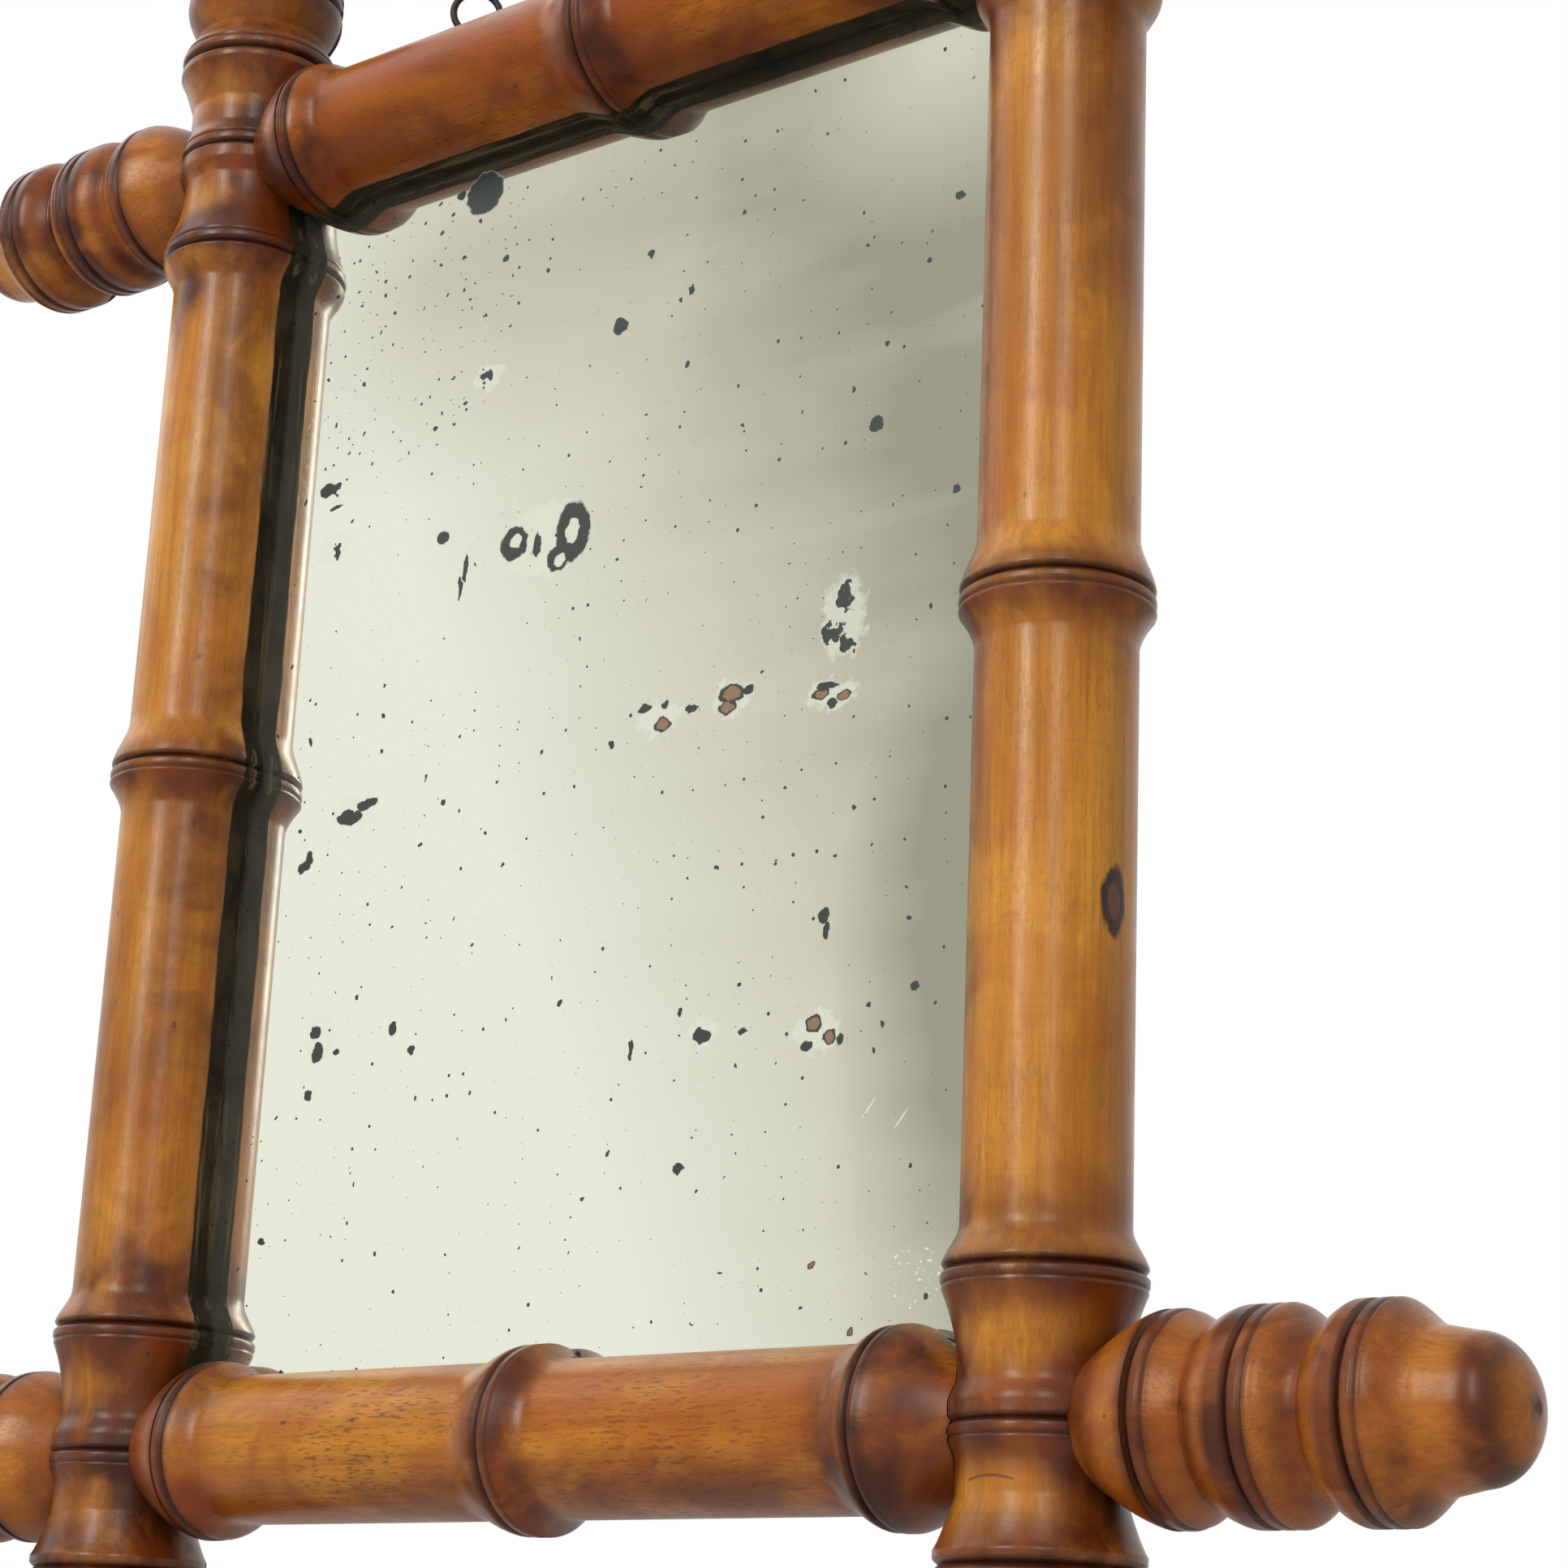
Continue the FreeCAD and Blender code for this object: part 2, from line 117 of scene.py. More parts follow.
def end_rings(d, foot):
    """The radius of a stick's end, d from its first ring's groove outwards, where foot is
    the radius before that ring: three barrel-shaped rings, rounded by 1 - t^1.7 up from
    the valley before and by 1 - eased down to the next, each with two grooves. The first
    one rises from the waist by 1 - t^0.8."""
    first, second, third = END_LINES
    valley, last_valley, flat, fall = 15.8, 14.6, 2.6, 8.0
    low = np.where(d < second, valley, np.where(d < third, last_valley, tip_radius(d)))
    low = np.where(d < first, foot, low)
    rings = ((first, 12.0, 2.0, 0.8), (second, 10.6, 4.0, 1.7), (third, 9.6, 3.2, 1.7))
    share = np.zeros_like(d)
    for line, rise, crown, power in rings:
        x = d - line
        round_down = 1.0 - eased((x - crown) / fall)
        round_up = 1.0 - np.clip(-(x + flat) / (rise - flat), 0.0, 1.0) ** power
        share = np.maximum(share, np.where(x < 0.0, round_up, round_down))
    r = low + (END_RING_R - low) * share
    for line in END_LINES:
        r = r - cut(d, line, half_width=1.2, depth=1.2)
        r = r - cut(d, line + FINE_STEP, half_width=0.9, depth=0.5)
    return r


def stile_radius(z):
    """A stile's radius at height z: its middle ring, then for each crossing the ring on
    the inner side, the bead where the rail sits, and the end."""
    h = np.abs(z) - RAIL_Z
    low = np.where(h < INNER_RING, STICK_R, WAIST_R)
    middle = ring_share(z, 0.0, -1.0, rise=12.0, crown=3.8, fall=7.0, power=1.6)
    inner = ring_share(h, INNER_RING, 1.0, rise=8.5, crown=3.0, fall=15.0, power=1.9)
    r = low + (RING_R - low) * np.maximum(middle, inner)
    r = r + (BEAD_R - WAIST_R) * eased((BEAD_FOOT - np.abs(h)) / BEAD_RISE)
    r = np.where(h > 12.0, end_rings(h - OUTER_RING, WAIST_R), r)
    r = r - cut(z, 0.0, half_width=1.1, depth=1.1)
    r = r - cut(z, MIDDLE_FINE, half_width=0.8, depth=0.4)
    r = r - cut(h, INNER_RING, half_width=1.1, depth=1.1)
    r = r - cut(h, FINE[0], half_width=0.8, depth=0.4)
    r = r - cut(h, BEAD_LINE, half_width=1.0, depth=0.9)
    return r - cut(h, FINE[1], half_width=0.7, depth=0.4)


def rows_along(start, stop, rings, grooves):
    """Places along a stick: every 2.6 mm, every 0.8 mm round a ring and, at each groove,
    its edges and bottom, without any two nearer than 0.08 mm."""
    near_ring = 13.0
    across = np.array([-1.1, -0.8, -0.55, -0.3, 0.0, 0.3, 0.55, 0.8, 1.1])
    s = [np.arange(start, stop, 2.6), np.array([stop])]
    s += [np.arange(max(start, p - near_ring), min(stop, p + near_ring), 0.8) for p in rings]
    s += [p + across for p in grooves]
    s = np.unique(np.concatenate(s))
    s = s[(s >= start) & (s <= stop)]
    keep = np.concatenate([[True], np.diff(s) > 0.08])
    keep[-1] = True
    return s[keep]


def angles_round(radius):
    """Angles round a stick for each row, from the inner side towards the wall. They close
    up on the rebate: 7 columns over its seat, 7 over its side wall, 88 round the rest. A
    radius under 12 mm, near a tip, counts as 12 mm."""
    r = np.clip(radius, 12.0, None)[:, None]
    first, last = np.arcsin(SEAT_Y / r), np.arccos(WALL / r)
    corner = math.atan2(SEAT_Y, WALL)
    seat = first + (corner - first) * np.linspace(0.0, 1.0, 8)[None, :-1]
    wall = corner + (last - corner) * np.linspace(0.0, 1.0, 8)[None, :-1]
    rest = last + (2.0 * math.pi + first - last) * np.linspace(0.0, 1.0, 89)[None, :-1]
    return np.concatenate([seat, wall, rest], axis=1)


def rebated(radius, angle):
    """The distance from the axis at which a ray leaves the stick: the radius, or less
    where it meets the rebate's seat or side wall first."""
    c, s = np.cos(angle), np.sin(angle)
    inside = (c > 0.0) & (s > 0.0)
    far = np.maximum(WALL / np.where(inside, c, 1.0), SEAT_Y / np.where(inside, s, 1.0))
    return np.where(inside, np.minimum(radius, far), radius)


def placed(name, data):
    """A new object in the scene, made of a mesh, a lamp or a camera."""
    obj = bpy.data.objects.new(name, data)
    bpy.context.scene.collection.objects.link(obj)
    return obj


def skin(name, rows, poles, values, flip):
    """A closed surface over a grid of points, rows by columns, whose columns run round and
    whose first and last rows are closed by fans to the two poles. values are kept with
    the points as named attributes, and flip turns the faces the other way round."""
    count, around = rows.shape[:2]
    points = np.concatenate([rows.reshape(-1, 3), np.array(poles)]) * MM
    i, j = np.meshgrid(np.arange(count - 1), np.arange(around), indexing="ij")
    k = (j + 1) % around
    low, high = i * around, (i + 1) * around
    quads = np.stack([low + j, low + k, high + k, high + j], -1).reshape(-1, 4)
    ring = np.arange(around)
    after = (ring + 1) % around
    last = (count - 1) * around
    start = np.stack([np.full(around, count * around), after, ring], -1)
    end = np.stack([np.full(around, count * around + 1), last + ring, last + after], -1)
    fans = np.concatenate([start, end])
    if flip:
        quads, fans = quads[:, ::-1], fans[:, ::-1]
    mesh = bpy.data.meshes.new(name)
    mesh.vertices.add(len(points))
    mesh.vertices.foreach_set("co", points.ravel())
    corners = np.concatenate([quads.ravel(), fans.ravel()])
    sizes = np.concatenate([np.full(len(quads), 4), np.full(len(fans), 3)])
    starts = np.concatenate([[0], np.cumsum(sizes)[:-1]])
    mesh.loops.add(len(corners))
    mesh.loops.foreach_set("vertex_index", corners.astype(np.int32))
    mesh.polygons.add(len(sizes))
    mesh.polygons.foreach_set("loop_start", starts.astype(np.int32))
    mesh.update(calc_edges=True)
    mesh.validate()
    for label, value in values.items():
        both = np.concatenate([value.ravel(), value[0, :1], value[-1, :1]])
        attribute = mesh.attributes.new(label, "FLOAT", "POINT")
        attribute.data.foreach_set("value", both.astype(np.float32))
    mesh.shade_smooth()
    mesh.set_sharp_from_angle(angle=math.radians(38.0))
    return placed(name, mesh)


def place_round(along, reach, angle, centre, axis, inward):
    """Points at distance reach and angle from a stick's axis, where angle 0 looks inward
    and a quarter turn looks to the wall."""
    to_wall = np.array([0.0, 1.0, 0.0])
    ways = np.cos(angle)[..., None] * inward + np.sin(angle)[..., None] * to_wall
    return np.array(centre) + along[..., None] * axis + reach[..., None] * ways


def glow(x, width):
    """A soft spot: exp(-(x / width)^2)."""
    return np.exp(-((x / width) ** 2))


def glows(x, *spots):
    """The sum of soft spots at x, each given by its place, its width and its strength,
    which is under 0 where it takes away."""
    return sum(strength * glow(x - place, width) for place, width, strength in spots)


def stile_burn(z):
    """How dark the scorched lines are, and how red the wood is round them, at height z."""
    h = np.abs(z) - RAIL_Z
    lines = [z] + [h - line for line in SCORCHED]
    fine = [z - MIDDLE_FINE] + [h - line for line in FINE]
    burn = sum(glow(x, 1.2) for x in lines) + 0.55 * sum(glow(x, 0.9) for x in fine)
    burn = burn + glows(h, (OUTER_RING + TIP_LINE, 1.6, 0.65))
    red = eased((h + 31.0) / 7.0) + glows(z, (-4.5, 4.0, 0.75), (2.0, 3.0, 0.5), (-12.0, 6.0, 0.25))
    red = red + glows(h, (-34.0, 8.0, 0.4), (-13.5, 5.5, -0.8), (13.0, 6.0, -0.7))
    red = red + glows(h, (37.0, 4.0, -0.4), (76.0, 5.0, -0.4))
    return np.clip(burn, 0.0, 1.0), np.clip(red, 0.0, 1.0)


def dirt_and_shade_round_nose(z, reach, angle):
    """How much darker and redder a stile is round the rail's nose, for old polish and dirt
    that gather there and for painted shade where the rail meets the stile: all of it within
    11 mm of the rail's axis, exp(-(d / 8)^2) further out."""
    out = np.hypot(np.abs(z) - RAIL_Z, reach * np.sin(angle)) - 11.0
    beside = eased((np.abs(np.cos(angle)) - 0.4) / 0.4)
    return beside * glow(np.clip(out, 0.0, None), 8.0)


def red_patches(z, angle, patches):
    """How red the wood is in some soft patches, each a height and an angle on the stick, a
    half height, a half angle and a strength, which is under 0 where the wood is paler."""
    red = np.zeros_like(angle)
    for height, turn, tall, wide, strength in patches:
        red = red + strength * glow(z - height, tall) * glow(angle - turn, wide)
    return red


def shader(name):
    """An empty material: the material, its node tree and its Principled shader."""
    material = bpy.data.materials.new(name)
    material.use_nodes = True
    tree = material.node_tree
    return material, tree, tree.nodes["Principled BSDF"]


def fill(tree, item, inputs):
    """Links or sets a node's inputs, each by its name or number."""
    for key, value in inputs.items():
        if isinstance(value, bpy.types.NodeSocket):
            tree.links.new(value, item.inputs[key])
        else:
            item.inputs[key].default_value = value


def add(tree, kind, inputs=(), **settings):
    """A node of the kind with its settings, and its inputs linked or set."""
    item = tree.nodes.new(kind)
    for key, value in settings.items():
        setattr(item, key, value)
    fill(tree, item, dict(inputs))
    return item


def maths(tree, operation, a, b=0.0, c=0.0, clamp=False):
    """The result of one calculation on two or three numbers or sockets."""
    inputs = {0: a, 1: b, 2: c}
    return add(tree, "ShaderNodeMath", inputs, operation=operation, use_clamp=clamp).outputs[0]


def times(tree, a, b, clamp=False):
    """Two numbers or sockets multiplied."""
    return maths(tree, "MULTIPLY", a, b, clamp=clamp)


def vectors(tree, operation, *inputs, **named):
    """The result of one calculation on vectors, which is a number for a length or a dot
    product. Its inputs are given in their order or by name."""
    inputs = {**dict(enumerate(inputs)), **named}
    item = add(tree, "ShaderNodeVectorMath", inputs, operation=operation)
    return item.outputs["Value" if operation in ("LENGTH", "DOT_PRODUCT") else "Vector"]


def here(tree):
    """Where a point of the piece lies: its Object coordinates, in metres."""
    return add(tree, "ShaderNodeTexCoord").outputs["Object"]


def parts(tree, vector):
    """The x, y and z of a vector."""
    return list(add(tree, "ShaderNodeSeparateXYZ", {0: vector}).outputs)


def between(tree, value, low, high):
    """0 where a value is at low, 1 where it is at high, and a straight line between."""
    return add(tree, "ShaderNodeMapRange", {0: value, 1: low, 2: high}).outputs[0]


def colour(red, green, blue):
    """A colour as a screen shows it, 0 to 255 each, as linear numbers."""
    values = [v / 255.0 for v in (red, green, blue)]
    return [v / 12.92 if v <= 0.04045 else ((v + 0.055) / 1.055) ** 2.4 for v in values] + [1.0]


def blend(tree, factor, a, b):
    """Two colours mixed by the factor."""
    return add(tree, "ShaderNodeMix", {0: factor, 6: a, 7: b}, data_type="RGBA").outputs[2]


def layered(tree, tone, layers):
    """A colour with others laid over it, each given by its share and its colour."""
    for share, over in layers:
        tone = blend(tree, share, tone, over)
    return tone


def ramp(tree, factor, *stops):
    """A factor mapped through stops of a place and a colour or grey."""
    item = add(tree, "ShaderNodeValToRGB", {"Fac": factor})
    elements = item.color_ramp.elements
    while len(elements) < len(stops):
        elements.new(0.5)
    for element, (place, value) in zip(elements, stops):
        element.position = place
        element.color = value if isinstance(value, list) else [value, value, value, 1.0]
    return item.outputs[0]


def noise(tree, place, scale, detail=3.0, roughness=0.5, distortion=0.0):
    """A noise texture's value at a place."""
    inputs = {"Vector": place, "Scale": scale, "Detail": detail}
    inputs.update({"Roughness": roughness, "Distortion": distortion})
    return add(tree, "ShaderNodeTexNoise", inputs).outputs["Fac"]


def stretched(tree, scale, offset=(0.0, 0.0, 0.0)):
    """Object coordinates, scaled along each axis and moved by an offset."""
    inputs = {"Vector": here(tree), "Scale": scale, "Location": offset}
    return add(tree, "ShaderNodeMapping", inputs).outputs[0]


def along_grain(axis, across, along):
    """Three scales, of which the one for the grain's own axis differs."""
    return [along if i == axis else across for i in range(3)]


def stained_wood(name, axis, honey, amber, pitted, patchy, gloss, knot=None):
    """Turned fruitwood under stain and wax, with its grain along an axis. pitted says how
    dark its pores are, patchy how strong its russet patches, gloss how thick its wax."""
    material, tree, face = shader(name)

    def figure(across, along, detail, roughness=0.5, distortion=0.0, offset=(0.0, 0.0, 0.0)):
        """A noise whose scales, per metre, are across and along the grain."""
        place = stretched(tree, along_grain(axis, across, along), offset)
        return noise(tree, place, 1.0, detail, roughness, distortion)

    broad = figure(30.0, 12.0, 3.0, 0.55, 0.4)  # broad bands of honey and amber
    streak = figure(300.0, 16.0, 4.0, 0.6, 0.2)  # brown streaks of the grain
    fine = figure(900.0, 45.0, 3.0, 0.6)  # its fine lines
    turned = figure(9.0, 900.0, 3.0, 0.6)  # rings that the turning tool left
    fleck = figure(1900.0, 360.0, 1.0)  # single pores
    pores = figure(50.0, 30.0, 2.0, offset=(-1.65, 0.0, 0.0))  # where they are many
    mottle = figure(75.0, 60.0, 4.0, 0.62, 0.5, offset=(3.1, 1.7, 2.3))  # uneven stain
    blotch = figure(34.0, 26.0, 3.0, 0.6, 0.8, offset=(7.7, 4.1, 5.9))  # russet patches
    burn, red, inward = [
        add(tree, "ShaderNodeAttribute", attribute_name=label).outputs["Fac"]
        for label in ("burn", "red", "inward")
    ]

    dots = ramp(tree, fleck, (0.57, 0.0), (0.63, 1.0))
    dots = times(tree, dots, ramp(tree, pores, (0.36, 0.2), (0.62, 0.75)))
    cells = {"Vector": stretched(tree, along_grain(axis, 95.0, 60.0)), "Scale": 1.0}
    cells = add(tree, "ShaderNodeTexVoronoi", cells).outputs["Distance"]
    # the flame was held to the rings, and the stain is redder and darker where it touched.
    # The red and burn attributes also carry painted shade, on the stiles' side facing the
    # mirror, round the rails' noses and under the rails, and these layers paint it too
    scorch_and_shade = times(tree, red, ramp(tree, mottle, (0.28, 0.40), (0.54, 1.0)), clamp=True)
    deep = times(tree, scorch_and_shade, ramp(tree, blotch, (0.40, 0.0), (0.58, 0.9)), clamp=True)
    layers = [
        (ramp(tree, broad, (0.38, 0.0), (0.62, 1.0)), amber),
        (ramp(tree, streak, (0.40, 0.0), (0.68, 0.36)), colour(118, 62, 10)),
        (ramp(tree, fine, (0.45, 0.0), (0.7, 0.32)), colour(104, 54, 10)),
        (ramp(tree, turned, (0.48, 0.0), (0.72, 0.15)), colour(122, 66, 16)),
        (times(tree, dots, pitted), colour(78, 40, 10)),
        (ramp(tree, blotch, (0.51, 0.0), (0.57, patchy)), colour(138, 62, 6)),
        (times(tree, scorch_and_shade, 0.88), colour(104, 37, 5)),
        (deep, colour(52, 18, 5)),
        (times(tree, burn, ramp(tree, mottle, (0.30, 0.72), (0.50, 0.95))), colour(46, 17, 8)),
        (times(tree, maths(tree, "LESS_THAN", cells, 0.05), 0.6), colour(46, 22, 12)),
    ]
    if knot:
        layers += [
            (knot_mask(tree, knot, 1.0), colour(44, 22, 16)),
            (knot_mask(tree, knot, 0.5), colour(88, 50, 28)),
            (crack_mask(tree), colour(104, 56, 28)),
        ]
    tone = layered(tree, honey, layers)

    # behind a sharp line the stick is nearly black inside and bare outside: dark stain together
    # with painted shade, for the shadowed gap between the stick and the glass
    y = parts(tree, here(tree))[1]
    inner = maths(tree, "GREATER_THAN", inward, 0.25)
    sooner = (VARNISH_INSIDE - VARNISH_OUTSIDE) * MM
    edge = maths(tree, "MULTIPLY_ADD", inner, sooner, VARNISH_OUTSIDE * MM)
    ragged = times(tree, maths(tree, "SUBTRACT", mottle, 0.5), 1.6 * MM)
    behind = maths(tree, "SUBTRACT", maths(tree, "ADD", y, ragged), edge)
    dark = between(tree, behind, -0.25 * MM, 0.25 * MM)
    back = layered(tree, colour(14, 11, 7), [
        (ramp(tree, mottle, (0.38, 0.0), (0.62, 1.0)), colour(44, 35, 22)),
        (ramp(tree, streak, (0.56, 0.0), (0.63, 0.5)), colour(104, 88, 62)),
    ])

    waxed = ramp(tree, mottle, (0.3, 0.24), (0.7, 0.38))
    relief = maths(tree, "ADD", times(tree, streak, 0.5), times(tree, mottle, 0.9))
    relief = maths(tree, "MULTIPLY_ADD", turned, 0.18, relief)
    relief = maths(tree, "MULTIPLY_ADD", dots, -0.25, relief)
    relief = {"Height": relief, "Strength": 0.30, "Distance": 0.5 * MM}
    fill(tree, face, {
        "Base Color": blend(tree, dark, tone, back),
        "Roughness": blend(tree, dark, waxed, [0.9, 0.9, 0.9, 1.0]),
        "Specular IOR Level": 0.16,
        "Specular Tint": (1.0, 0.88, 0.70, 1.0),
        "Coat Weight": maths(tree, "MULTIPLY_ADD", dark, -gloss, gloss),
        "Coat Roughness": 0.32,
        "Normal": add(tree, "ShaderNodeBump", relief).outputs[0],
    })
    return material


def knot_mask(tree, centre, size):
    """1 inside a leaf shape on the right stile's outer side, 0 outside: the distance from
    its centre, divided by its half width and half height, with a wavy edge."""
    half_width, half_height = 3.3 * MM * size, 7.2 * MM * size
    away = vectors(tree, "SUBTRACT", here(tree), centre)
    away = vectors(tree, "MULTIPLY", away, (0.0, 1.0 / half_width, 1.0 / half_height))
    wavy = noise(tree, stretched(tree, (500.0, 500.0, 220.0)), 1.0, 2.0)
    wavy = times(tree, maths(tree, "SUBTRACT", wavy, 0.5), 0.5)
    distance = maths(tree, "ADD", vectors(tree, "LENGTH", away), wavy)
    shown = maths(tree, "GREATER_THAN", parts(tree, here(tree))[0], STILE_X * MM)
    return times(tree, between(tree, distance, 1.05, 0.85), shown)


def crack_mask(tree):
    """1 on a hair crack across the front of the right stile's lower end, 0 elsewhere: within
    0.25 mm of the arc z = -169.2 - 0.03 (x - 121)^2, for 5 mm to each side."""
    x, y, z = parts(tree, here(tree))
    aside = maths(tree, "SUBTRACT", x, 121.0 * MM)
    arc = maths(tree, "MULTIPLY_ADD", times(tree, aside, aside), 0.03 / MM, 169.2 * MM)
    near = maths(tree, "COMPARE", maths(tree, "ADD", z, arc), 0.0, 0.25 * MM)
    short = maths(tree, "COMPARE", aside, 0.0, 5.0 * MM)
    front = maths(tree, "LESS_THAN", y, 0.0)
    return times(tree, times(tree, near, short), front)


def at_crossings(places):
    """Places beyond a crossing, as heights on the stile at its lower and upper crossing."""
    return [side * (RAIL_Z + place) for side in (-1, 1) for place in places]


KNOT = ((STILE_X + WAIST_R) * MM, -3.0 * MM, -63.5 * MM)
# the bulges beyond a crossing, where a stile's rows lie closer together
STILE_RINGS = [INNER_RING, -13.0, 0.0, 13.0] + [OUTER_RING + line for line in END_LINES] + [85.0]
PATCHES = {  # of each stile, as red_patches takes them
    "left_stile": [
        (120.0, 4.75, 6.0, 0.22, 0.9), (112.0, 4.45, 8.0, 0.2, 0.7),
        (-95.0, 4.5, 48.0, 1.3, 0.42),
    ],
    "right_stile": [
        (90.0, 3.5, 34.0, 0.6, 0.45), (118.0, 4.3, 9.0, 0.5, 0.25), (80.0, 4.4, 42.0, 1.4, 0.16),
        (-145.0, 4.2, 6.0, 1.0, -0.45), (-172.0, 4.2, 6.0, 1.0, -0.45),
    ],
}
stile_wood = stained_wood(
    "stile_wood", 2, colour(190, 130, 42), colour(164, 102, 25),
    pitted=0.3, patchy=0.28, gloss=0.25, knot=KNOT,
)
for name, side in (("left_stile", -1.0), ("right_stile", 1.0)):
    rings = [0.0] + at_crossings(STILE_RINGS)
    grooves = [0.0, MIDDLE_FINE] + at_crossings(SCORCHED + FINE)
    z = rows_along(-STILE_LENGTH + 0.02, STILE_LENGTH - 0.02, rings, grooves)
    # the rebate starts and stops in a step, so two rows lie at the same height there
    step = RAIL_Z - WALL
    z = np.sort(np.concatenate([z, [-step, -step, step, step]]))
    radius = stile_radius(z)
    angle = angles_round(radius)
    lower, upper = np.flatnonzero(z == -step), np.flatnonzero(z == step)
    held = np.zeros(len(z), bool)
    held[lower[-1]:upper[0] + 1] = True
    reach = np.where(held[:, None], rebated(radius[:, None], angle), radius[:, None])
    along = np.broadcast_to(z[:, None], reach.shape)
    inward = np.array([-side, 0.0, 0.0])
    upright = np.array([0.0, 0.0, 1.0])
    points = place_round(along, reach, angle, (side * STILE_X, 0.0, 0.0), upright, inward)
    # the middle of each tip is sunk a little
    poles = [(side * STILE_X, 0.0, end * (STILE_LENGTH - 0.4)) for end in (-1.0, 1.0)]
    burn, red = stile_burn(z)
    # painted shade with dirt: darker and redder round the rail's nose, where the rail meets the
    # stile
    nose_dirt_and_shade = dirt_and_shade_round_nose(along, reach, angle)
    facing = np.cos(angle) * (np.abs(along) < RAIL_Z)
    # painted shade: redder and darker on the side facing the mirror, between the rails; red_patches
    # adds patches of stain
    inward_shade_and_patches = 0.55 * eased((facing - 0.15) / 0.6) + red_patches(along, angle, PATCHES[name])
    values = {
        "burn": burn[:, None] + 0.45 * nose_dirt_and_shade,
        "red": red[:, None] + 1.1 * nose_dirt_and_shade + inward_shade_and_patches,
        "inward": facing,
    }
    stick = skin(f"{name}_turned", points, poles, values, flip=side > 0)
    stick.data.materials.append(stile_wood)
    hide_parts(name)
    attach(stick, "frame")


# Each rail's middle piece is turned like the stiles. Beyond its outer rings it rounds down
# to the stile, and its end is hollowed to sit on the stile's bead. A dowel, glued into a
# blind hole in its end, runs on through the stile.
DOWEL_R = 5.1  # of the hole
DOWEL_REACH = 34.1  # the hole's bottom, from the stile's axis
NOSE_START = 28.0  # from the stile's axis, as are the next three
NOSE_END = 11.6
RAIL_RING = 30.9
RAIL_FINE = 28.2
RAIL_MIDDLE_FINE = 3.0  # the fine line to the right of the middle ring's scorched one
JOINT_GAP = 0.15


def nose_radius(d):
    """A rail piece's radius, d from the stile's axis, where it rounds down to the stile:
    r = 19.3 - 0.2155 (28 - d)^1.32."""
    return RING_R - 0.2155 * np.clip(NOSE_START - d, 0.0, None) ** 1.32


def seat_distance(angle, reach):
    """How far from the stile's axis the stile's surface lies, for a line beside the rail's
    axis at this angle and reach: d^2 = R(z)^2 - y^2."""
    inner, back = reach * np.cos(angle), reach * np.sin(angle)
    stile = stile_radius(RAIL_Z - inner) + JOINT_GAP
    return np.sqrt(np.clip(stile**2 - back**2, 0.0, None))


def coped_end(angle, cut_by_rebate):
    """Rows for a rail piece's end, from the bottom of its dowel hole out over the hollow
    seat to its rim and then along its rounded nose: distances from the stile's axis and
    from the rail's axis. The rim is where nose and stile meet, found by repeated halving
    of the error."""
    def limit(reach):
        return rebated(reach, angle) if cut_by_rebate else reach
    d = np.full_like(angle, NOSE_END)
    for _ in range(40):
        d = 0.5 * (d + seat_distance(angle, limit(nose_radius(d))))
    rim = limit(nose_radius(d))
    rows = [(np.full_like(angle, DOWEL_REACH), np.full_like(angle, DOWEL_R))]
    for share in np.linspace(0.0, 1.0, 13):
        reach = DOWEL_R + (rim - DOWEL_R) * share
        rows.append((seat_distance(angle, reach), reach))
    for share in np.linspace(0.04, 1.0, 26):
        out = d + (NOSE_START - d) * share
        rows.append((out, limit(nose_radius(out))))
    return np.array([r[0] for r in rows]), np.array([r[1] for r in rows])


def rail_radius(x):
    """A rail's radius at x, between its two noses: the middle ring and an end ring."""
    h = np.abs(x) - STILE_X
    middle = ring_share(x, 0.0, 1.0, rise=12.0, crown=3.8, fall=7.0, power=1.6)
    outer = ring_share(h, -RAIL_RING, 1.0, rise=8.5, crown=6.0, fall=6.0, power=1.0)
    r = STICK_R + (RING_R - STICK_R) * np.maximum(middle, outer)
    r = r - cut(x, 0.0, half_width=1.2, depth=1.1)
    r = r - cut(x, RAIL_MIDDLE_FINE, half_width=0.8, depth=0.4)
    r = r - cut(h, -RAIL_RING, half_width=1.2, depth=1.1)
    return r - cut(h, -RAIL_FINE, half_width=0.8, depth=0.4)


def rail_burn(x):
    """How dark the scorched lines are, and how red the wood is round them, at x."""
    h = np.abs(x) - STILE_X
    burn = glows(x, (0.0, 1.3, 1.0), (RAIL_MIDDLE_FINE, 0.9, 0.55))
    burn = burn + glows(h, (-RAIL_RING, 1.3, 1.0), (-RAIL_FINE, 0.9, 0.55))
    burn = burn + 0.9 * eased((h + 14.2) / 2.5)
    red = glows(x, (5.5, 4.5, 0.9), (-2.5, 3.5, 0.5))
    red = red + glows(h, (-36.5, 6.0, 0.6), (-24.0, 2.5, -0.3)) + 0.95 * eased((h + 33.0) / 3.0)
    return np.clip(burn, 0.0, 1.0), np.clip(red, 0.0, 1.0)


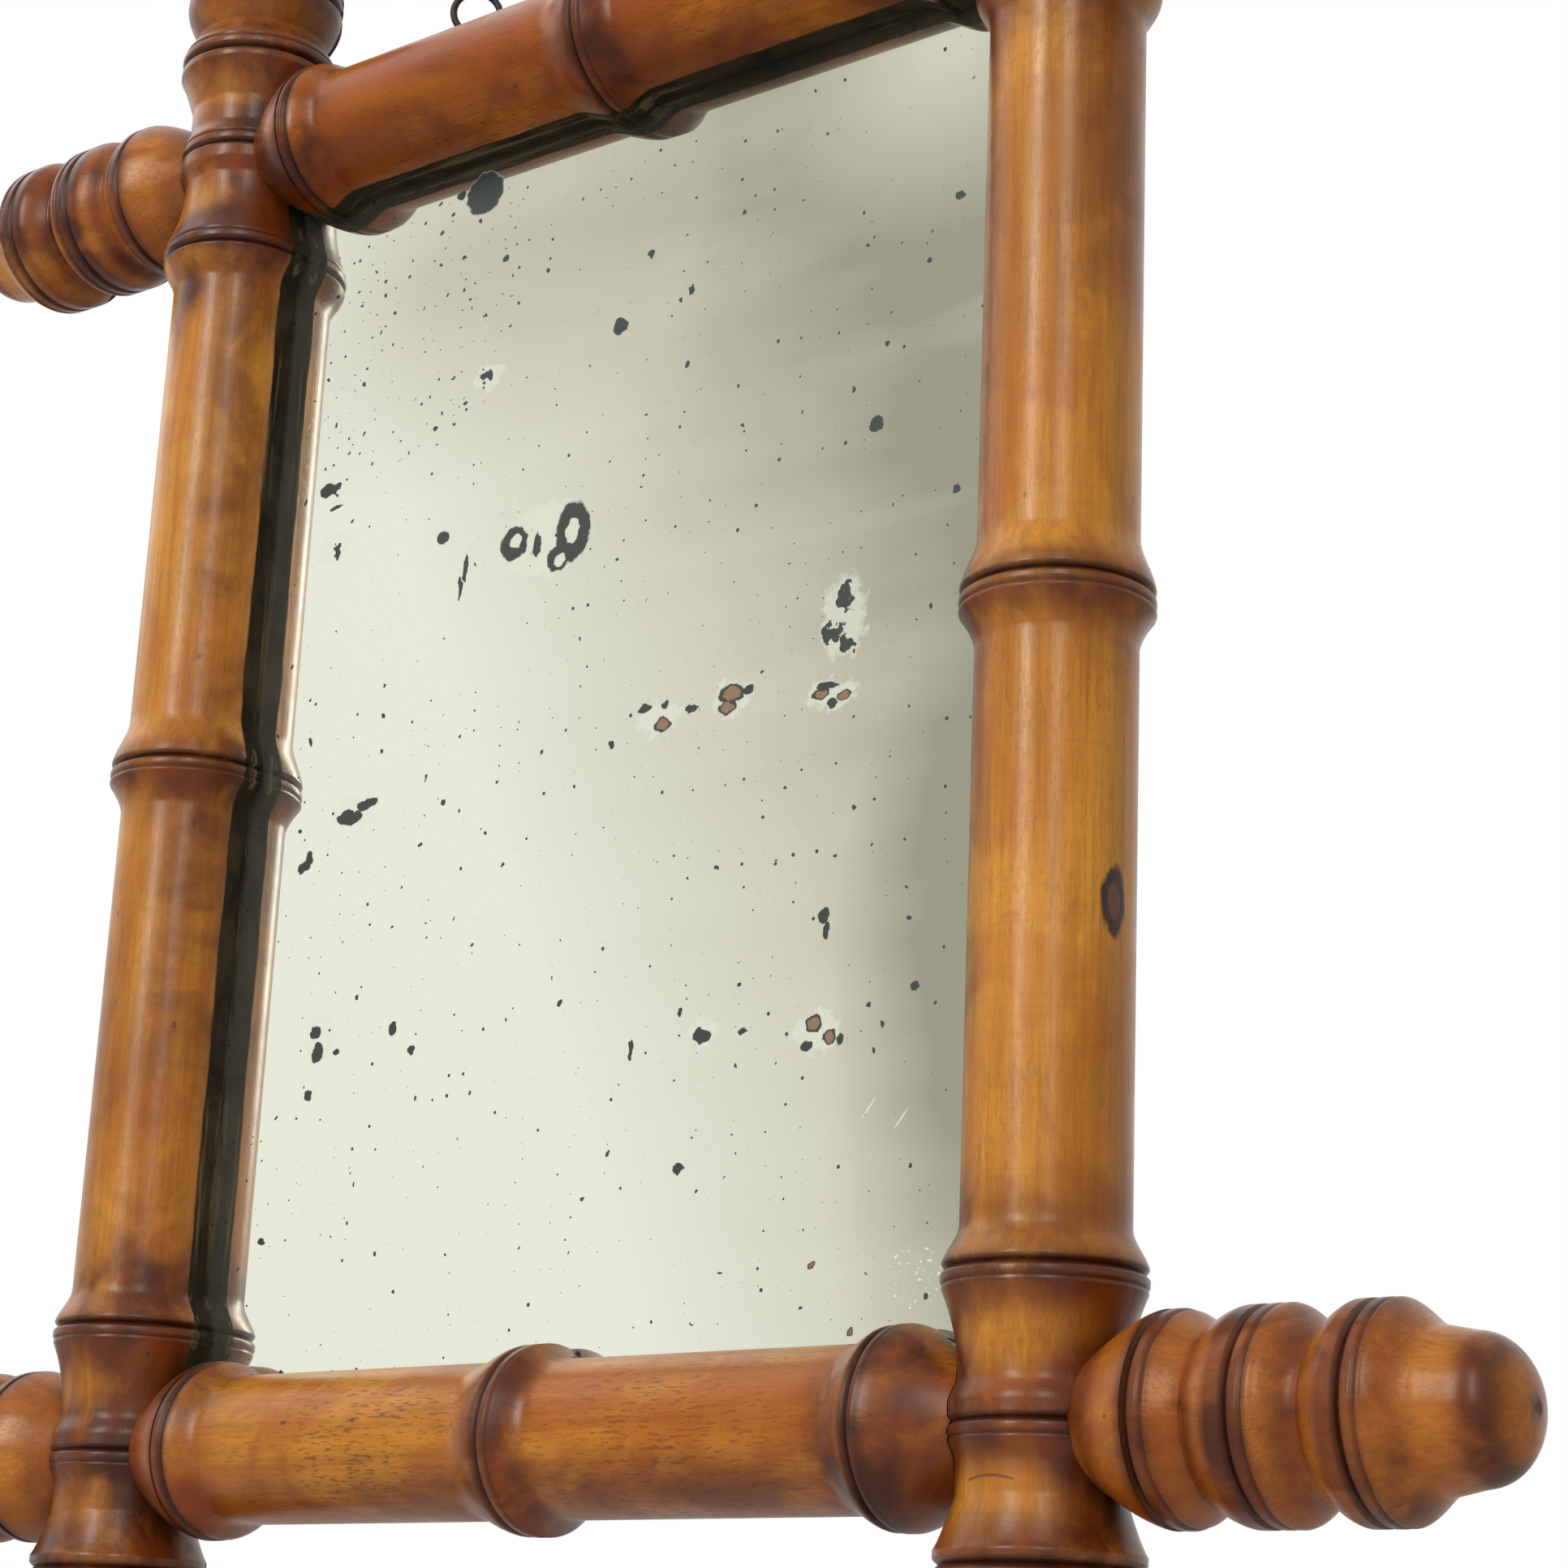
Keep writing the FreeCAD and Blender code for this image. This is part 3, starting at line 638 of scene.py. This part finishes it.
top_wood = stained_wood(
    "top_rail_wood", 0, colour(170, 98, 12), colour(112, 50, 4),
    pitted=0.9, patchy=0.5, gloss=0.1,
)
bottom_wood = stained_wood(
    "bottom_rail_wood", 0, colour(180, 117, 32), colour(152, 86, 18),
    pitted=0.8, patchy=0.4, gloss=0.25,
)
for name, up, wood in (("top_rail", 1.0, top_wood), ("bottom_rail", -1.0, bottom_wood)):
    line = STILE_X - RAIL_RING
    stop = STILE_X - NOSE_START - 0.05
    x = rows_along(-stop, stop, [0.0, -line, line], [0.0, RAIL_MIDDLE_FINE, -line, line])
    radius = rail_radius(x)
    angle = angles_round(radius)
    end_angle = angle[-1]
    d, reach_end = coped_end(end_angle, True)
    right = STILE_X - d
    along = np.concatenate([-right, np.broadcast_to(x[:, None], angle.shape), right[::-1]])
    reach = np.concatenate([reach_end, rebated(radius[:, None], angle), reach_end[::-1]])
    turn_end = np.broadcast_to(end_angle, d.shape)
    turn = np.concatenate([turn_end, angle, turn_end])
    sideways = np.array([1.0, 0.0, 0.0])
    inward = np.array([0.0, 0.0, -up])
    points = place_round(along, reach, turn, (0.0, 0.0, up * RAIL_Z), sideways, inward)
    depth = STILE_X - DOWEL_REACH
    poles = [(-depth, 0.0, up * RAIL_Z), (depth, 0.0, up * RAIL_Z)]
    burn, red = rail_burn(along)
    # painted shade: each rail is redder and darker on its underside
    red = red + 0.55 * eased((up * np.cos(turn) - 0.1) / 0.7)
    # the rings of the bottom rail are varnished further back than the wood between them
    facing = np.where((up < 0.0) & (reach > STICK_R + 0.3), 0.0, np.cos(turn))
    values = {"burn": burn, "red": red, "inward": facing}
    stick = skin(f"{name}_turned", points, poles, values, flip=up < 0)
    stick.data.materials.append(wood)
    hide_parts(name)
    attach(stick, "frame")


# The four ends of the rails are pieces of their own, outside the stiles. They have the same
# hollowed nose and three rings close together, and their tips are darkest. The mark of the
# lathe's centre is left in the flat of each tip.
END_GROOVE = 28.7  # the first ring's line, from the stile's axis
END_TIP = END_GROOVE + TIP_START + TIP_LENGTH
TIP_EDGE = 66.8  # where a tip turns over to its flat, from the first line
LATHE_MARK = 0.9  # the depth of the mark


def end_radius(d):
    """The radius of an end piece, d from the stile's axis, beyond its nose."""
    return np.minimum(end_rings(d - END_GROOVE, RING_R + 0.4), RING_R)


def end_burn(d):
    """How dark the scorched lines are, and how red the wood is round them, at d."""
    x = d - END_GROOVE
    burn = sum(glows(x - line, (0.0, 1.3, 1.0), (FINE_STEP, 1.0, 0.65)) for line in END_LINES)
    burn = burn + glows(x, (TIP_LINE, 1.6, 0.65), (TIP_START + TIP_LENGTH, 0.2, 0.9))
    burn = burn + 0.9 * eased((14.2 - d) / 2.5)
    red = 0.12 + sum(glows(x - line, (1.2, 3.4, 0.85)) for line in END_LINES)
    red = red + glows(x, (10.5, 2.2, 0.75), (16.6, 1.8, 0.8), (30.0, 3.6, 0.85))
    red = red + glows(x, (37.4, 2.2, 0.7), (48.0, 3.0, 0.5), (62.0, 3.6, 0.95))
    red = red + 0.5 * eased((22.0 - d) / 6.0)
    return np.clip(burn, 0.0, 1.0), np.clip(red, 0.0, 1.0)


end_wood = stained_wood(
    "end_piece_wood", 0, colour(188, 120, 42), colour(146, 76, 16),
    pitted=0.4, patchy=0.5, gloss=0.22,
)
for height, up in (("top", 1.0), ("bottom", -1.0)):
    for hand, side in (("left", -1.0), ("right", 1.0)):
        rings = [END_GROOVE + place for place in END_LINES + (9.0, 30.0, 60.0)]
        fine = tuple(line + FINE_STEP for line in END_LINES)
        grooves = [END_GROOVE + place for place in END_LINES + fine + (TIP_EDGE,)]
        d = rows_along(NOSE_START + 0.1, END_TIP - 0.08, rings, grooves)
        radius = end_radius(d)
        angle = angles_round(radius)
        first = angle[0]
        near, reach_near = coped_end(first, False)
        out = np.concatenate([near, np.broadcast_to(d[:, None], angle.shape)])
        reach = np.concatenate([reach_near, np.broadcast_to(radius[:, None], angle.shape)])
        turn = np.concatenate([np.broadcast_to(first, near.shape), angle])
        centre = np.array([side * STILE_X, 0.0, up * RAIL_Z])
        sideways = np.array([side, 0.0, 0.0])
        inward = np.array([0.0, 0.0, -up])
        points = place_round(out, reach, turn, centre, sideways, inward)
        poles = [centre + sideways * DOWEL_REACH, centre + sideways * (END_TIP - LATHE_MARK)]
        burn, red = end_burn(out)
        values = {"burn": burn, "red": red, "inward": np.zeros_like(turn)}
        stick = skin(f"{height}_{hand}_end_turned", points, poles, values, flip=side * up < 0)
        stick.data.materials.append(end_wood)
        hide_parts(f"{height}_{hand}_end")
        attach(stick, "frame")


# Dowels of plain beech hold the rails' pieces to the stiles. They are hidden in the joints,
# glued into the blind holes of both pieces of a rail.
dowel_wood, tree, face = shader("dowel_wood")
grain = noise(tree, stretched(tree, (60.0, 900.0, 900.0)), 1.0, 4.0, 0.6)
beech = ramp(tree, grain, (0.3, colour(196, 160, 116)), (0.7, colour(166, 124, 80)))
fill(tree, face, {"Base Color": beech, "Roughness": 0.65})


def clothe(node, material):
    """Gives a CAD node its material."""
    nodes[node].data.materials.clear()
    nodes[node].data.materials.append(material)


for name in nodes:
    if name.endswith("_dowel"):
        clothe(name, dowel_wood)


# The mirror is a plate of old glass, silvered behind. The silvering has gone pale and
# yellowish, and grey clouds to the right are painted reflections of the room. It is full of
# fine dark specks, and it lets go in spots with pale rims, some of them brown inside.
PLATE = (1.0, 0.0, 1.0)  # keeps a vector's part along the plate
# each oval is the x and z of its middle, its half width and its half height
LOSSES = [  # dark spots
    (-44.5, 134.0, 5.8, 5.4), (-52.0, 135.6, 1.3, 1.3), (0.6, 88.8, 2.2, 2.0),
    (73.1, 48.9, 1.7, 1.7), (-49.9, 47.9, 1.9, 1.6), (92.7, 96.4, 1.0, 0.9),
    (8.5, 104.5, 1.0, 0.8), (94.0, 30.3, 1.0, 0.9), (29.6, -104.5, 1.5, 1.2),
    (-90.0, -112.2, 1.3, 0.9), (-9.9, 41.6, 5.1, 7.1), (-13.8, 36.0, 3.4, 3.1),
    (-27.4, 42.1, 4.2, 4.0), (-20.4, 40.3, 1.2, 3.0), (-42.0, 39.0, 0.8, 3.4),
    (-43.3, 34.2, 0.7, 3.0), (42.1, -4.2, 1.5, 0.9), (14.1, -3.9, 1.8, 1.1),
    (27.0, -6.0, 1.8, 0.9), (19.7, -3.7, 1.1, 0.9), (63.0, -6.8, 2.9, 0.9),
    (64.4, -10.7, 1.3, 0.9), (-73.1, -15.9, 4.2, 1.8), (-68.7, -13.7, 2.1, 1.4),
    (-66.2, -13.1, 1.6, 1.2), (-86.4, -25.8, 2.1, 1.4), (-85.0, -24.0, 1.1, 1.6),
    (-89.3, 67.7, 2.5, 1.7), (-86.1, 68.1, 1.4, 1.3), (-86.0, 62.7, 2.2, 0.6),
    (-40.2, 86.0, 2.1, 0.8), (-38.4, 86.0, 0.8, 1.5), (-77.9, -65.6, 1.6, 1.5),
    (-77.1, -70.5, 1.8, 2.3), (-71.0, -70.7, 1.3, 0.7), (-54.3, -67.2, 1.3, 1.5),
    (-47.8, -72.7, 1.0, 1.1), (-79.1, -80.0, 1.3, 1.1), (64.3, -55.7, 1.4, 1.7),
    (65.0, -59.1, 0.8, 2.0), (87.2, -72.7, 1.2, 1.1), (34.2, -77.4, 2.4, 1.5),
    (44.8, -77.7, 1.3, 0.7), (15.3, -78.6, 0.7, 2.1), (61.3, -82.2, 1.6, 1.0),
    (69.5, -81.5, 0.8, 1.3), (79.7, -79.6, 0.6, 0.7), (28.1, -71.8, 0.7, 0.7),
    (21.0, 92.7, 0.9, 1.0), (88.6, 6.2, 0.6, 0.7), (5.8, -140.9, 0.9, 0.7),
    (5.0, -10.5, 0.7, 0.9), (-87.8, 4.5, 0.8, 1.2), (-43.8, -16.3, 0.8, 0.8),
]
BROWN_LOSSES = [  # spots that are brown inside
    (37.8, -4.4, 3.5, 2.2), (36.7, -7.2, 2.6, 1.6), (19.1, -8.2, 2.3, 1.7),
    (67.3, -9.4, 1.9, 1.1), (61.4, -8.3, 2.1, 1.1), (62.7, -77.9, 2.0, 2.0),
    (66.9, -80.9, 1.8, 1.3), (74.6, -139.5, 1.0, 0.8), (64.6, -126.0, 1.0, 0.8),
]
KEPT_INSIDE = [  # silvering left inside the spots
    (-10.0, 41.8, 1.9, 3.0), (-26.9, 42.6, 1.9, 1.7), (-13.3, 35.3, 1.7, 1.4),
    (68.0, 3.3, 0.8, 0.7),
]
PALE_RIMS = [  # pale rims round them
    (-18.1, 41.2, 15.2, 10.4), (66.5, 7.6, 6.5, 10.4), (37.9, -5.6, 6.0, 4.5),
    (18.0, -6.5, 7.7, 4.0), (64.4, -8.6, 7.1, 3.9), (-71.4, -15.2, 8.9, 4.7),
    (-87.7, 68.4, 5.0, 5.5), (-84.9, 52.1, 5.5, 5.0), (-76.5, -67.2, 5.7, 6.8),
    (64.0, -79.6, 6.9, 4.6), (34.4, -76.7, 4.3, 3.1), (-39.0, 85.6, 5.2, 3.6),
]
SCUFFS = [  # where the plate is scuffed
    (89.0, -130.0, 9.0, 8.0),
]
SPECKLED = [  # the corner full of specks
    (-64.0, 108.0, 46.0, 50.0),
]
TORN = [  # dark spots with torn edges
    (66.7, 12.0, 2.0, 2.8), (63.9, 4.8, 2.6, 1.8), (67.0, 1.8, 2.3, 1.9),
    (-84.5, 51.5, 1.4, 1.6), (-87.0, 67.0, 1.2, 1.4),
]
SLANT = ((0.64, 0.0, 0.768), (-0.768, 0.0, 0.64))  # along the scratches, and across them
SCRATCHES = [  # pale scratches, in the slanting directions
    (-24.4, -120.7, 3.2, 0.2), (-21.4, -128.5, 3.2, 0.2),
]
# painted reflections of the room: two darker clouds and a lighter corner
REFLECTED_CLOUDS = [  # an oval, the share of it where the cloud ends, how softly, and how dark it is
    ((100.0, -84.0, 32.0, 84.0), 0.65, 0.45, 0.42),
    ((-62.0, 112.0, 75.0, 50.0), 0.6, 0.5, 0.36),
    ((90.0, 132.0, 56.0, 40.0), 0.6, 0.5, -0.5),
]


def nearest(tree, place, ovals):
    """The distance to the nearest oval's middle, as a share of that oval's own half width
    and half height, so that 1 is its edge. It is never over 9."""
    least = 9.0
    for x, z, width, height in ovals:
        scale = (1.0 / (width * MM), 0.0, 1.0 / (height * MM))
        shift = (-x / width, 0.0, -z / height)
        distance = vectors(tree, "LENGTH", vectors(tree, "MULTIPLY_ADD", place, scale, shift))
        least = maths(tree, "MINIMUM", distance, least)
    return least


def shifted(tree, place, ripple, amount):
    """A place on the plate moved by some amount of a ripple, along the plate only."""
    moved = vectors(tree, "ADD", place, vectors(tree, "SCALE", ripple, Scale=amount))
    return vectors(tree, "MULTIPLY", moved, PLATE)


def inside(tree, distance, limit, soft):
    """1 where a distance is under a limit, with a soft edge."""
    return between(tree, distance, limit + soft, limit - soft)


def specks(tree, place, scale, largest, share):
    """Round specks, one in a share of the cells of a random flat grid, of random sizes."""
    x, _, z = parts(tree, place)
    sheet = add(tree, "ShaderNodeCombineXYZ", {0: x, 1: z}).outputs[0]
    grid = {"Vector": sheet, "Scale": scale}
    cells = add(tree, "ShaderNodeTexVoronoi", grid, voronoi_dimensions="2D").outputs
    lot = add(tree, "ShaderNodeSeparateColor", {0: cells["Color"]}).outputs
    chosen = maths(tree, "LESS_THAN", lot[0], share)
    size = times(tree, maths(tree, "POWER", lot[1], 3.5), largest * scale)
    size = maths(tree, "ADD", size, 0.25 * largest * scale)
    return times(tree, chosen, maths(tree, "LESS_THAN", cells["Distance"], size))


mirror, tree, face = shader("old_mirror")
flat = vectors(tree, "MULTIPLY", here(tree), PLATE)
ripple = add(tree, "ShaderNodeTexNoise", {"Vector": flat, "Scale": 420.0, "Detail": 2.0})
ripple = vectors(tree, "SUBTRACT", ripple.outputs["Color"], (0.5, 0.5, 0.5))
ripple = vectors(tree, "SCALE", ripple, Scale=2.4 * MM)
wavy = shifted(tree, flat, ripple, 1.0)
veil = noise(tree, flat, 11.0, 3.0, 0.5)

# where the silvering is gone: the spots, specks all over, crowds of finer ones, and a corner
brown = nearest(tree, wavy, BROWN_LOSSES)
lost = maths(tree, "MINIMUM", brown, nearest(tree, wavy, LOSSES))
lost = maths(tree, "MINIMUM", lost, nearest(tree, shifted(tree, flat, ripple, 3.0), TORN))
kept = inside(tree, nearest(tree, wavy, KEPT_INSIDE), 1.0, 0.05)
bare = times(tree, inside(tree, lost, 1.0, 0.05), maths(tree, "SUBTRACT", 1.0, kept))
bare = maths(tree, "MAXIMUM", bare, specks(tree, wavy, 120.0, 0.50 * MM, 0.55))
crowd = maths(tree, "GREATER_THAN", noise(tree, flat, 14.0, 2.0), 0.42)
crowd = times(tree, specks(tree, flat, 215.0, 0.36 * MM, 0.38), crowd)
bare = maths(tree, "MAXIMUM", bare, crowd)
speckled = inside(tree, nearest(tree, flat, SPECKLED), 0.75, 0.25)
speckled = maths(tree, "GREATER_THAN", speckled, veil)
corner = times(tree, specks(tree, wavy, 235.0, 0.62 * MM, 0.62), speckled)
bare = maths(tree, "MAXIMUM", bare, corner)

# painted reflection of the room: the mirror's colour darkens towards the right and upper
# right, in slanting clouds
x, _, z = parts(tree, flat)
slope = maths(tree, "MULTIPLY_ADD", z, 0.45, x)
slanting = {"Rotation": (0.0, math.radians(-38.0), 0.0), "Scale": (7.0, 1.0, 42.0)}
slanting = add(tree, "ShaderNodeMapping", {"Vector": flat, **slanting}).outputs[0]
cloud = noise(tree, slanting, 1.0, 3.0, 0.5, 0.3)
uneven = maths(tree, "ADD", times(tree, cloud, 0.55), times(tree, veil, 0.5))
shade = between(tree, slope, -40.0 * MM, 112.0 * MM)
shade = times(tree, shade, maths(tree, "ADD", uneven, 0.5), clamp=True)
for oval, limit, soft, darker in REFLECTED_CLOUDS:
    within = inside(tree, nearest(tree, flat, [oval]), limit, soft)
    shade = maths(tree, "ADD", shade, times(tree, within, darker))
silver_and_reflection = ramp(
    tree, shade, (0.0, colour(230, 232, 216)), (0.5, colour(204, 204, 184)),
    (1.0, colour(156, 155, 136)),
)

# pale rims round the spots, scuffs and scratches, then the dark and brown of the spots
rim = inside(tree, nearest(tree, shifted(tree, flat, ripple, 3.2), PALE_RIMS), 0.85, 0.12)
scuffed = inside(tree, nearest(tree, flat, SCUFFS), 0.7, 0.3)
scuffed = maths(tree, "GREATER_THAN", scuffed, veil)
scuffs = times(tree, specks(tree, wavy, 820.0, 0.30 * MM, 0.85), scuffed)
slant = [vectors(tree, "DOT_PRODUCT", flat, way) for way in SLANT]
slant = add(tree, "ShaderNodeCombineXYZ", {0: slant[0], 2: slant[1]}).outputs[0]
scratches = inside(tree, nearest(tree, slant, SCRATCHES), 0.8, 0.2)
tint = layered(tree, silver_and_reflection, [
    (times(tree, rim, 0.6), colour(226, 228, 210)),
    (times(tree, maths(tree, "MAXIMUM", scuffs, scratches), 0.65), colour(246, 247, 240)),
    (bare, colour(28, 36, 31)),
    (inside(tree, brown, 0.68, 0.06), colour(122, 93, 66)),
])
fill(tree, face, {
    "Base Color": tint,
    "Metallic": maths(tree, "MULTIPLY_ADD", bare, -0.97, 0.97),
    "Roughness": maths(tree, "MULTIPLY_ADD", bare, 0.3, 0.02),
})
clothe("mirror_glass", mirror)


# A thin pine board, rough from the plane and brown with age, closes the back. Square
# brads, driven into the sides of the rebate, hold it.
pine, tree, face = shader("old_pine")
grain = noise(tree, stretched(tree, (170.0, 170.0, 5.0)), 1.0, 5.0, 0.6, 0.6)
dust = noise(tree, stretched(tree, (18.0, 18.0, 14.0)), 1.0, 4.0, 0.6)
plain = ramp(
    tree, grain, (0.32, colour(120, 90, 58)), (0.52, colour(150, 116, 78)),
    (0.7, colour(98, 70, 44)),
)
dusty = ramp(tree, dust, (0.4, 0.0), (0.75, 0.55))
relief = {"Height": grain, "Strength": 0.35, "Distance": 0.4 * MM}
fill(tree, face, {
    "Base Color": blend(tree, dusty, plain, colour(86, 66, 48)),
    "Roughness": 0.85,
    "Normal": add(tree, "ShaderNodeBump", relief).outputs[0],
})
clothe("backing_board", pine)

iron, tree, face = shader("dark_iron")
rust = noise(tree, stretched(tree, (900.0, 900.0, 900.0)), 1.0, 4.0, 0.65)
fill(tree, face, {
    "Base Color": ramp(tree, rust, (0.45, colour(40, 37, 35)), (0.62, colour(70, 50, 38))),
    "Roughness": ramp(tree, rust, (0.4, 0.38), (0.65, 0.75)),
    "Metallic": 0.85,
})
clothe("board_brads", iron)


# A wire eye is screwed into the top rail near each end, turned half way to the front, and a
# loose ring of the same iron wire stands up from it, as the nail in the wall holds it.
WIRE_R = 0.85
EYE_X = 53.0  # from the mirror's middle to each side
EYE_Y = 6.0  # behind the rail's axis
EYE_UP = 19.4  # above the rail's axis
EYE_R = 3.15  # of the middle of the wire, as is the next one
HANGER_R = 5.65
HANGER_GAP = 0.35
SHANK = 15.0


def tube_loop(name, centre, across, upward, radius, wire):
    """A torus: a circle of the wire's radius carried round a circle of the loop's."""
    round_loop, round_wire = (np.linspace(0.0, 2.0 * math.pi, n + 1)[:-1] for n in (72, 16))
    u, v = np.meshgrid(round_loop, round_wire, indexing="ij")
    radial = np.cos(u)[..., None] * across + np.sin(u)[..., None] * upward
    side = np.cross(across, upward)
    points = centre + radial * (radius + wire * np.cos(v))[..., None]
    points = points + side * (wire * np.sin(v))[..., None]
    rows, around = u.shape
    i, j = np.meshgrid(np.arange(rows), np.arange(around), indexing="ij")
    row, next_row, k = i * around, (i + 1) % rows * around, (j + 1) % around
    quads = np.stack([row + k, next_row + k, next_row + j, row + j], -1)
    mesh = bpy.data.meshes.new(name)
    mesh.from_pydata((points.reshape(-1, 3) * MM).tolist(), [], quads.reshape(-1, 4).tolist())
    mesh.shade_smooth()
    mesh.materials.append(iron)
    loop = placed(name, mesh)
    return loop


for hand, side in (("left", -1.0), ("right", 1.0)):
    turn = math.radians(45.0) * side
    across = np.array([math.cos(turn), -math.sin(turn), 0.0])
    eye_centre = np.array([side * EYE_X, EYE_Y, RAIL_Z + EYE_UP])
    upward = np.array([0.0, 0.0, 1.0])
    ring_centre = eye_centre + upward * (EYE_R - 2.0 * WIRE_R - HANGER_GAP + HANGER_R)
    hanger = tube_loop(f"{hand}_hanging_wire", ring_centre, across, upward, HANGER_R, WIRE_R)
    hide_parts(f"{hand}_hanging_ring")
    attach(hanger, f"{hand}_ring")
    facing = np.cross(across, upward)
    eye = tube_loop(f"{hand}_eye_wire", eye_centre, facing, upward, EYE_R, WIRE_R)
    # the shank's point, its full thickness, and its top inside the eye's wire
    height = np.array([-SHANK, -SHANK + 2.4, -EYE_R - WIRE_R, -EYE_R])
    width = np.array([0.05, WIRE_R, WIRE_R, WIRE_R * 0.7])
    angle = np.broadcast_to(np.linspace(0.0, 2.0 * math.pi, 25)[:-1], (4, 24))
    along = np.broadcast_to(height[:, None], angle.shape)
    reach = np.broadcast_to(width[:, None], angle.shape)
    points = place_round(along, reach, angle, eye_centre, upward, np.array([1.0, 0.0, 0.0]))
    poles = [eye_centre - upward * SHANK, eye_centre - upward * EYE_R]
    shank = skin(f"{hand}_eye_shank", points, poles, {}, flip=False)
    shank.data.materials.append(iron)
    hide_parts(f"{hand}_screw_eye")
    for piece in (eye, shank):
        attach(piece, "frame")


# The studio: a pale floor below and all round a white surround, two tall soft windows in
# front of the mirror, a broad soft light from the left, and the photograph's camera.
AMBIENT = 0.33  # the surround's strength on the object; seen or mirrored, it is white
bpy.context.scene.view_settings.view_transform = "Standard"
world = bpy.data.worlds.new("studio")
bpy.context.scene.world = world
world.use_nodes = True
tree = world.node_tree
rays = add(tree, "ShaderNodeLightPath").outputs
seen = maths(tree, "MAXIMUM", rays["Is Camera Ray"], rays["Is Transmission Ray"])
seen = maths(tree, "MAXIMUM", seen, rays["Is Glossy Ray"])
strength = maths(tree, "MULTIPLY_ADD", seen, 1.0 - AMBIENT, AMBIENT)
fill(tree, tree.nodes["Background"], {"Strength": strength, "Color": (1.0, 1.0, 1.0, 1.0)})

floor_mesh = bpy.data.meshes.new("floor")
far = 3.0
level = cad_box[0][2] - 0.25
corners = [(-far, -far, level), (far, -far, level), (far, far, level), (-far, far, level)]
floor_mesh.from_pydata(corners, [], [(0, 1, 2, 3)])
floor = placed("floor", floor_mesh)
paint, tree, face = shader("pale_floor")
fill(tree, face, {"Base Color": (0.86, 0.86, 0.85, 1.0), "Roughness": 0.9})
floor.data.materials.append(paint)


def soft_light(name, azimuth, elevation, distance, width, height, power):
    """A rectangular lamp that faces the middle of the mirror, with its distance and sizes
    in metres. Azimuth 0 is straight in front of it and 90 to the right."""
    a, e = math.radians(azimuth), math.radians(elevation)
    data = bpy.data.lights.new(name, "AREA")
    data.shape = "RECTANGLE"
    data.size, data.size_y, data.energy = width, height, power
    lamp = placed(name, data)
    way = Vector((math.sin(a) * math.cos(e), -math.cos(a) * math.cos(e), math.sin(e)))
    lamp.location = way * distance
    lamp.rotation_euler = (-lamp.location).to_track_quat("-Z", "Y").to_euler()


soft_light("left_window", -6.0, 24.0, 2.2, width=0.20, height=1.3, power=30.0)
soft_light("right_window", 38.0, 24.0, 2.2, width=0.15, height=1.3, power=16.0)
soft_light("broad_light", -78.0, 42.0, 2.8, width=2.4, height=2.4, power=18.0)

CAMERA_AT = Vector((455.954, -511.772, -220.711)) * MM
AIM = Vector((56.328, 0.0, -28.087)) * MM
ROLL = math.radians(2.45)
FOCAL_PIXELS = 4093.05
PHOTO_PIXELS = 1932.0
SENSOR = 36.0
camera_data = bpy.data.cameras.new("camera")
camera_data.sensor_width = SENSOR
camera_data.lens = SENSOR * FOCAL_PIXELS / PHOTO_PIXELS
camera_data.clip_start = 0.01
camera = placed("camera", camera_data)
ahead = (AIM - CAMERA_AT).normalized()
level_right = ahead.cross(Vector((0.0, 0.0, 1.0))).normalized()
level_up = level_right.cross(ahead)
right = level_right * math.cos(ROLL) + level_up * math.sin(ROLL)
turned = Matrix((right, right.cross(ahead), -ahead)).transposed().to_4x4()
camera.matrix_world = Matrix.Translation(CAMERA_AT) @ turned
bpy.context.scene.camera = camera
